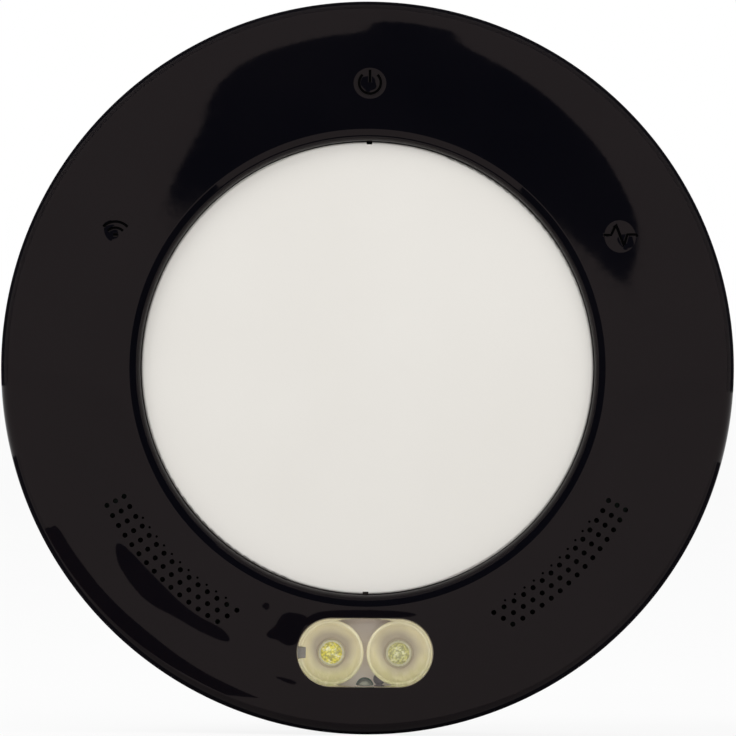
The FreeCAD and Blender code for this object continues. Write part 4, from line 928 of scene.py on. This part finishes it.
# Lamps: a flanged body, a pale moulded ring and a domed top with the phosphor under it, on two leads
lampSize = {
    "bodyR": 2.4, "flangeR": 2.9, "flangeH": 0.8, "height": 4.8, "domeH": 1.9, "low": 29.0,
    "leadPitch": 2.54, "leadW": 0.5, "leadLen": 2.8, "ringR": 2.7, "steps": 72, "domeSteps": 16,
}


def makeLamp(side, name, finish):
    size = lampSize
    low, bodyR, ringR = size["low"], size["bodyR"], size["ringR"]
    top = low + size["height"]
    shoulder = top - size["domeH"]
    x = side * windowSize["halfGap"]
    outline = [(0.0, low), (size["flangeR"], low), (size["flangeR"], low + size["flangeH"]),
               (bodyR, low + size["flangeH"]), (bodyR, shoulder - 0.9), (ringR, shoulder - 0.8),
               (ringR, shoulder + 0.12), (ringR - 0.12, shoulder + 0.24), (bodyR - 0.05, shoulder + 0.24)]
    domeR = (bodyR ** 2 + size["domeH"] ** 2) / (2 * size["domeH"])
    startDeg = math.degrees(math.asin((domeR - size["domeH"]) / domeR))
    outline += arcPoints((0.0, top - domeR), domeR, startDeg, 90, size["domeSteps"])[2:-1] + [(0.0, top)]
    parts = [turnedSolid("lampBody", outline, size["steps"], centre=(x, -featureR))]
    half = size["leadW"] / 2
    for middle in (x + size["leadPitch"] / 2, x - size["leadPitch"] / 2):
        parts.append(boxTool("lead", (middle - half, middle + half), (low - size["leadLen"], low),
                             (-featureR - half, -featureR + half)))
    lamp = reworked(joinAll(name, parts, finish), closeUp)
    lamp.data.materials.append(finishes["platedBrass"])
    lamp.data.materials.append(finishes["lampRing"])
    for polygon in lamp.data.polygons:
        depth = -polygon.center.y / mm
        out = math.hypot(polygon.center.x / mm - x, polygon.center.z / mm + featureR)
        if depth < low + 1e-3 and len(polygon.vertices) == 4 and out < 2.0:
            polygon.material_index = 1
        elif out > bodyR - 0.12 and depth > shoulder - 1.0:
            polygon.material_index = 2
    return sharpen(lamp, 40)


for side, word, finish in ((-1, "left", "lampDome"), (1, "right", "lampDomePale")):
    lamp = makeLamp(side, word + "_lamp", finishes[finish])
    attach(lamp, "housing")
    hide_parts(word + "_lamp_led")
print("lamps done")


# On the lamp board: a pale bead of fixing compound under the tray's notch, and beside it a dark crowned pad that is
# painted shade, put where the shadow between the right cup and the tray falls
beadSize = {
    "radius": 1.8, "height": 1.9, "low": 29.0, "drop": 7.1, "steps": 40, "roundSteps": 9,
    "shadePadX": 3.0, "shadePadDrop": 5.3, "shadePadR": 1.15, "shadePadH": 0.9,
}


def makeBead():
    size = beadSize
    outline = [(0.0, size["low"]), (size["radius"], size["low"])]
    for step in range(1, size["roundSteps"]):
        angle = math.pi / 2 * step / size["roundSteps"]
        sway = 1.0 + 0.04 * math.sin(step * 1.7)
        outline.append((size["radius"] * math.cos(angle) * sway, size["low"] + size["height"] * math.sin(angle)))
    outline.append((0.0, size["low"] + size["height"]))
    return turnedSolid("lamp_board_bead", outline, size["steps"], finishes["beadGreen"], True,
                       (0.0, -featureR - size["drop"]))


# a dark piece standing in for the shadow between the right cup and the tray
def makeShadePad():
    size = beadSize
    low, top, radius = size["low"], size["low"] + size["shadePadH"], size["shadePadR"]
    outline = [(0.0, low), (radius, low), (radius, top - 0.2), (radius - 0.2, top), (0.4, top + 0.06),
               (0.0, top + 0.07)]
    return turnedSolid("lamp_board_pad", outline, size["steps"], finishes["padMauve"], True,
                       (size["shadePadX"], -featureR - size["shadePadDrop"]))


for piece in (makeBead(), makeShadePad()):
    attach(piece, "housing")


# Housing screws: one pan head with a cross recess, set on four points by its tree
screwSize = {
    "circleR": 62.0, "upperDeg": 60.0, "lowerX": 26.2, "seat": 12.0, "headR": 2.75, "headH": 2.0,
    "shankR": 1.45, "reach": 19.0, "threads": 9, "crossW": 0.62, "crossR": 1.55, "crossDepth": 1.1,
    "crossTaper": 0.72, "steps": 40,
}


def screwPattern():
    # drawn at the origin with its seat at depth 0 and its head towards the wall
    size = screwSize
    head, shank, top = size["headR"], size["shankR"], -size["headH"]
    dome = size["headH"] * 0.35
    outline = [(0.0, size["reach"]), (0.0, top)]
    for step in range(1, 8):
        part = step / 8
        outline.append((head * part, top + dome * (1 - math.sqrt(1 - part ** 2)) * 0.9))
    outline += [(head - 0.08, top + dome), (head, top + dome + 0.12), (head, 0.0), (shank, 0.0)]
    pitch = (size["reach"] - 4.0) / size["threads"]
    for turn in range(size["threads"]):
        depth = 2.0 + pitch * turn
        outline += [(shank - 0.3, depth), (shank, depth + pitch * 0.5)]
    outline += [(shank - 0.3, size["reach"] - 2.0), (0.5, size["reach"])]
    screw = turnedSolid("screwPattern", outline, size["steps"])
    depths = (top - 0.5, top + size["crossDepth"])
    for long, short in ((size["crossR"], size["crossW"] / 2), (size["crossW"] / 2, size["crossR"])):
        arm = boxTool("crossArm", (-long, long), depths, (-short, short), size["crossTaper"])
        combine(screw, arm, "DIFFERENCE")
    return sharpen(screw, 35)


def screwTree():
    # two screws on the circle up high, and two on it further down, each turned its own way
    tree, get, output = startTree("housingScrews", {
        "Pattern": "Object", "Circle": "Float", "Upper angle": "Float", "Lower x": "Float", "Seat": "Float"})
    index = addNode(tree, "GeometryNodeInputIndex", {})
    lower = ((index + 0.5) / 2.0).do("FLOOR")
    sign = (index - lower * 2.0) * -2.0 + 1.0
    x = get["Circle"] * get["Upper angle"].do("COSINE") * (lower * -1.0 + 1.0) + get["Lower x"] * lower
    z = (get["Circle"] * get["Circle"] - x * x).do("SQRT") * (lower * -2.0 + 1.0)
    points = addNode(tree, "GeometryNodePoints", {
        "Count": 4, "Position": joinedAxes(tree, x * sign, get["Seat"] * -1.0, z)})
    pattern = addNode(tree, "GeometryNodeObjectInfo", {"Object": get["Pattern"]}, "Geometry")
    turn = joinedAxes(tree, 0.0, index * 1.9 + 0.35, 0.0)
    return finishTree(tree, points, pattern, turn, output, finishes["plainSteel"])


pattern = screwPattern()
screws = growFromTree("cross_screws", screwTree(), {
    "Pattern": pattern, "Circle": screwSize["circleR"] * mm, "Upper angle": math.radians(screwSize["upperDeg"]),
    "Lower x": screwSize["lowerX"] * mm, "Seat": screwSize["seat"] * mm,
})
bpy.data.objects.remove(pattern)
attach(screws, "housing")
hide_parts("housing_screws")
print("housing screws done")


# Plain studio: pale floor, soft lamps, and dark boards that only the gloss sees
studioSize = {
    "cameraY": -2.5, "sensor": 36.0, "focusDepth": 0.0323, "faceWidth": 0.15563, "shiftX": 0.0007,
    "rollDeg": -0.5, "floorZ": -0.0776, "ambient": 0.72,
    "lamps": {"keyLamp": ((-1.6, -1.5, 2.2), 30.0, 1.6), "fillLamp": ((1.9, -1.8, 1.0), 11.5, 1.4)},
}


def makeCamera():
    size = studioSize
    camera = bpy.data.cameras.new("camera")
    camera.lens = size["sensor"] * (abs(size["cameraY"]) - size["focusDepth"]) / size["faceWidth"]
    camera.shift_x = size["shiftX"]
    camera.clip_start = 0.01
    camera.clip_end = 100
    stand = showMesh("camera", camera)
    stand.location = (0.0, size["cameraY"], 0.0)
    stand.rotation_euler = (math.pi / 2, math.radians(size["rollDeg"]), 0.0)
    bpy.context.scene.camera = stand


def makeStudioLamp(name, place, power, width):
    lamp = bpy.data.lights.new(name, "AREA")
    lamp.shape = "DISK"
    lamp.size = width
    lamp.energy = power
    stand = showMesh(name, lamp)
    stand.location = place
    stand.rotation_euler = (-Vector(place)).to_track_quat("-Z", "Y").to_euler()
    stand.visible_glossy = False


def seenDirectly(tree):
    # 1 for what the camera, the gloss and the clear parts see, 0 for the light itself
    rays = tree.nodes.new("ShaderNodeLightPath").outputs
    camera, gloss, clear = (NodeValue(tree, rays["Is %s Ray" % kind]) for kind in ("Camera", "Glossy", "Transmission"))
    return camera.do("MAXIMUM", gloss).do("MAXIMUM", clear)


def makeWorld():
    # white where it is seen, a soft grey for the light itself
    world = bpy.data.worlds.new("studio")
    world.use_nodes = True
    back = world.node_tree.nodes["Background"]
    level = spread(seenDirectly(world.node_tree), studioSize["ambient"], 1.0, 0.0, 1.0)
    feed(world.node_tree, level, back.inputs["Strength"])
    back.inputs["Color"].default_value = (1.0, 1.0, 1.0, 1.0)
    bpy.context.scene.world = world


def makeFloor():
    # pale matt paint; the camera sees it nearly as bright as the background, with its shadow kept
    where = startFinish("paleFloor")
    tree = where.tree
    shader = tree.nodes["Principled BSDF"]
    feed(tree, mottled(noiseOf(where, 6), (0.88, 0.88, 0.88), (0.9, 0.9, 0.9)), shader.inputs["Base Color"])
    shader.inputs["Roughness"].default_value = 0.9
    shader.inputs["Specular IOR Level"].default_value = 0.1
    glow = addNode(tree, "ShaderNodeEmission", {"Strength": 1.0})
    mix = addNode(tree, "ShaderNodeMixShader", {0: seenDirectly(tree) * 0.88, 1: shader.outputs[0], 2: glow})
    feed(tree, mix, tree.nodes["Material Output"].inputs["Surface"])
    z = studioSize["floorZ"]
    corners = [(-60, -9, z), (60, -9, z), (60, 90, z), (-60, 90, z)]
    newObject("floor", corners, [[0, 1, 2, 3]], finishes["paleFloor"])


# Dark boards that only the gloss sees: each outline gives the places on the crown, x and z in mm,
# where its corners are mirrored, and its distance in front of the face
boardSize = {
    "topBoard": {"ahead": 1200.0, "outline": [
        (-39.2, 31.8), (-43.9, 35.5), (-40.1, 44.6), (-35.4, 52.4), (-33.9, 59.4), (-28.4, 65.1),
        (-23.3, 67.7), (-18.5, 69.4), (-8.9, 71.8), (0.0, 72.6), (1.3, 75.1), (10.5, 74.5),
        (19.4, 72.6), (19.6, 70.0), (29.1, 65.4), (37.9, 59.5), (44.7, 53.3), (50.6, 46.8),
        (54.8, 39.8), (58.4, 31.9), (58.5, 26.0), (57.3, 20.9), (55.5, 18.0), (52.3, 20.1),
        (48.1, 24.5), (43.1, 29.1), (40.3, 30.5)]},
    "grilleBoard": {"ahead": 25.0, "outline": [
        (-53.9, -37.4), (-52.1, -37.4), (-49.0, -40.6), (-43.9, -45.9), (-39.7, -50.1), (-35.4, -53.3),
        (-30.1, -55.8), (-28.9, -59.0), (-35.4, -56.5), (-40.7, -53.3), (-47.1, -50.1), (-50.8, -45.9),
        (-53.4, -41.7)]},
    "windowBoard": {"ahead": 25.0, "outline": [
        (-21.7, -56.5), (-19.6, -54.8), (-18.5, -52.7), (-17.4, -52.0), (-16.0, -51.9), (-13.2, -52.5),
        (-12.4, -53.5), (-13.6, -55.4), (-14.7, -57.5), (-15.1, -58.8), (-17.2, -59.2), (-19.4, -57.7),
        (-21.0, -57.5)]},
    "archBoard": {"ahead": 25.0, "outline": [
        (-13.2, -53.3), (-11.7, -52.2), (-9.0, -51.6), (-4.8, -51.4), (2.6, -51.4), (9.6, -51.9),
        (11.0, -52.8), (2.6, -53.2), (-7.9, -53.4), (-10.9, -54.0), (-13.6, -55.0)]},
    "streakBoard": {"ahead": 25.0, "outline": [
        (-20.1, -65.8), (-17.5, -66.2), (-14.9, -67.1), (-15.6, -67.8), (-18.0, -67.0)]},
    "dotBoard": {"ahead": 25.0, "outline": [
        (-22.6, -50.6), (-21.8, -49.8), (-20.9, -50.0), (-20.8, -51.1), (-21.6, -51.5)]},
    "leftRimBoard": {"ahead": 16.0, "outline": [
        (-67.0, -33.0), (-62.9, -39.8), (-55.4, -49.4), (-46.0, -57.5), (-37.5, -63.9), (-29.0, -68.4),
        (-19.6, -72.3), (-14.0, -75.9), (-24.0, -73.4), (-38.0, -67.3), (-51.0, -58.1), (-61.0, -47.5),
        (-69.0, -34.9)]},
}


seatBoardSize = {"outR": 46.0, "inR": 4.0, "depth": 62.0, "startDeg": 130, "endDeg": 410, "stepDeg": 10}


def eased(outline):
    # corners cut twice, so that the mirrored edge runs soft
    for times in range(2):
        finer = []
        for first, second in zip(outline, outline[1:] + outline[:1]):
            for part in (0.25, 0.75):
                finer.append((first[0] * (1 - part) + second[0] * part, first[1] * (1 - part) + second[1] * part))
        outline = finer
    return outline


def boardPoint(x, z, ahead):
    # where a board has to be for the crown, or the rim, to mirror it at this place
    radius = math.hypot(x, z)
    tilt = math.asin(max(radius - crownInnerR, 0.0) / crownArcR)
    if radius > creaseR:
        tilt = min(math.asin(min(1.0, (radius - ringSize["faceR"] + rimArcR) / rimArcR)), math.radians(40))
    reach = radius + ahead * math.tan(2 * tilt)
    degrees = math.degrees(math.atan2(z, x)) - studioSize["rollDeg"]
    return fromPolar(reach, degrees, ahead + ringSize["faceDepth"])


def addMattFinish(name, perMetre, first, second):
    where = startFinish(name)
    shader = where.tree.nodes["Principled BSDF"]
    feed(where.tree, blendColours(noiseOf(where, perMetre), first, second), shader.inputs["Base Color"])
    shader.inputs["Specular IOR Level"].default_value = 0.0


def addBoard(name, points, finish, faces=None):
    # a stage piece that only the gloss sees
    board = newObject(name, points, faces or [list(range(len(points)))], finishes[finish])
    board.visible_camera = board.visible_diffuse = False
    board.visible_shadow = board.visible_transmission = False


shadeSize = {
    "sideWall": (1.4, -0.75, 0.3), "rearWall": (1.35, 0.28, 6.0), "steps": 48, "lift": 0.00004,
    "reach": 0.3, "frontY": -0.15, "seamY": -0.034, "front": [(0.0, -0.0395), (0.045, -0.047), (0.134, -0.083)],
}


def addWall(name, radius, near, far, finish):
    around = arcPoints((0.0, 0.0), 1.0, 0, 360, shadeSize["steps"])[:-1]
    points = [(radius * x, y, radius * z) for x, z in around for y in (near, far)]
    count = len(points)
    faces = [[low, low + 1, (low + 3) % count, (low + 2) % count] for low in range(0, count, 2)]
    addBoard(name, points, finish, faces)


def makeBoards():
    addMattFinish("darkBoard", 4, (0.0, 0.0, 0.0), (0.006, 0.006, 0.02))
    addMattFinish("brownBoard", 4, (0.0, 0.0, 0.0), (0.30, 0.17, 0.14))
    for name, size in boardSize.items():
        points = [boardPoint(x, z, size["ahead"]) for x, z in eased(size["outline"])]
        addBoard(name, points, "darkBoard" if name == "topBoard" else "brownBoard")
    # one more over the cover's seat, open at the top, that darkens the bevel's sides and foot
    size = seatBoardSize
    start, end, depth = size["startDeg"], size["endDeg"], size["depth"]
    points = [fromPolar(size["outR"], degrees, depth) for degrees in range(start, end + 1, size["stepDeg"])]
    points += [fromPolar(size["inR"], degrees, depth) for degrees in (end - 360, start)]
    addBoard("seatBoard", points, "darkBoard")


def makeRimShades():
    # dim walls, and dim sheets on the floor, so that the rim doesn't glare
    addMattFinish("dimWall", 2, (0.70, 0.68, 0.67), (0.76, 0.74, 0.73))
    addMattFinish("deepWall", 2, (0.04, 0.035, 0.035), (0.06, 0.055, 0.055))
    size = shadeSize
    addWall("sideWall", *size["sideWall"], "dimWall")
    addWall("rearWall", *size["rearWall"], "deepWall")
    z, reach, seam = studioSize["floorZ"] + size["lift"], size["reach"], size["seamY"]
    right = [(x, y, z) for x, y in size["front"]] + [(reach, size["frontY"], z), (reach, seam, z)]
    left = [(-x, y, z) for x, y, z in reversed(right[1:])]
    addBoard("frontSheet", right + left, "dimWall")
    addBoard("rearSheet", [(-reach, seam, z), (reach, seam, z), (reach, reach, z), (-reach, reach, z)], "deepWall")


makeCamera()
makeWorld()
for name, lamp in studioSize["lamps"].items():
    makeStudioLamp(name, *lamp)
makeFloor()
makeBoards()
makeRimShades()
bpy.context.scene.view_settings.view_transform = "Standard"
print("studio done")
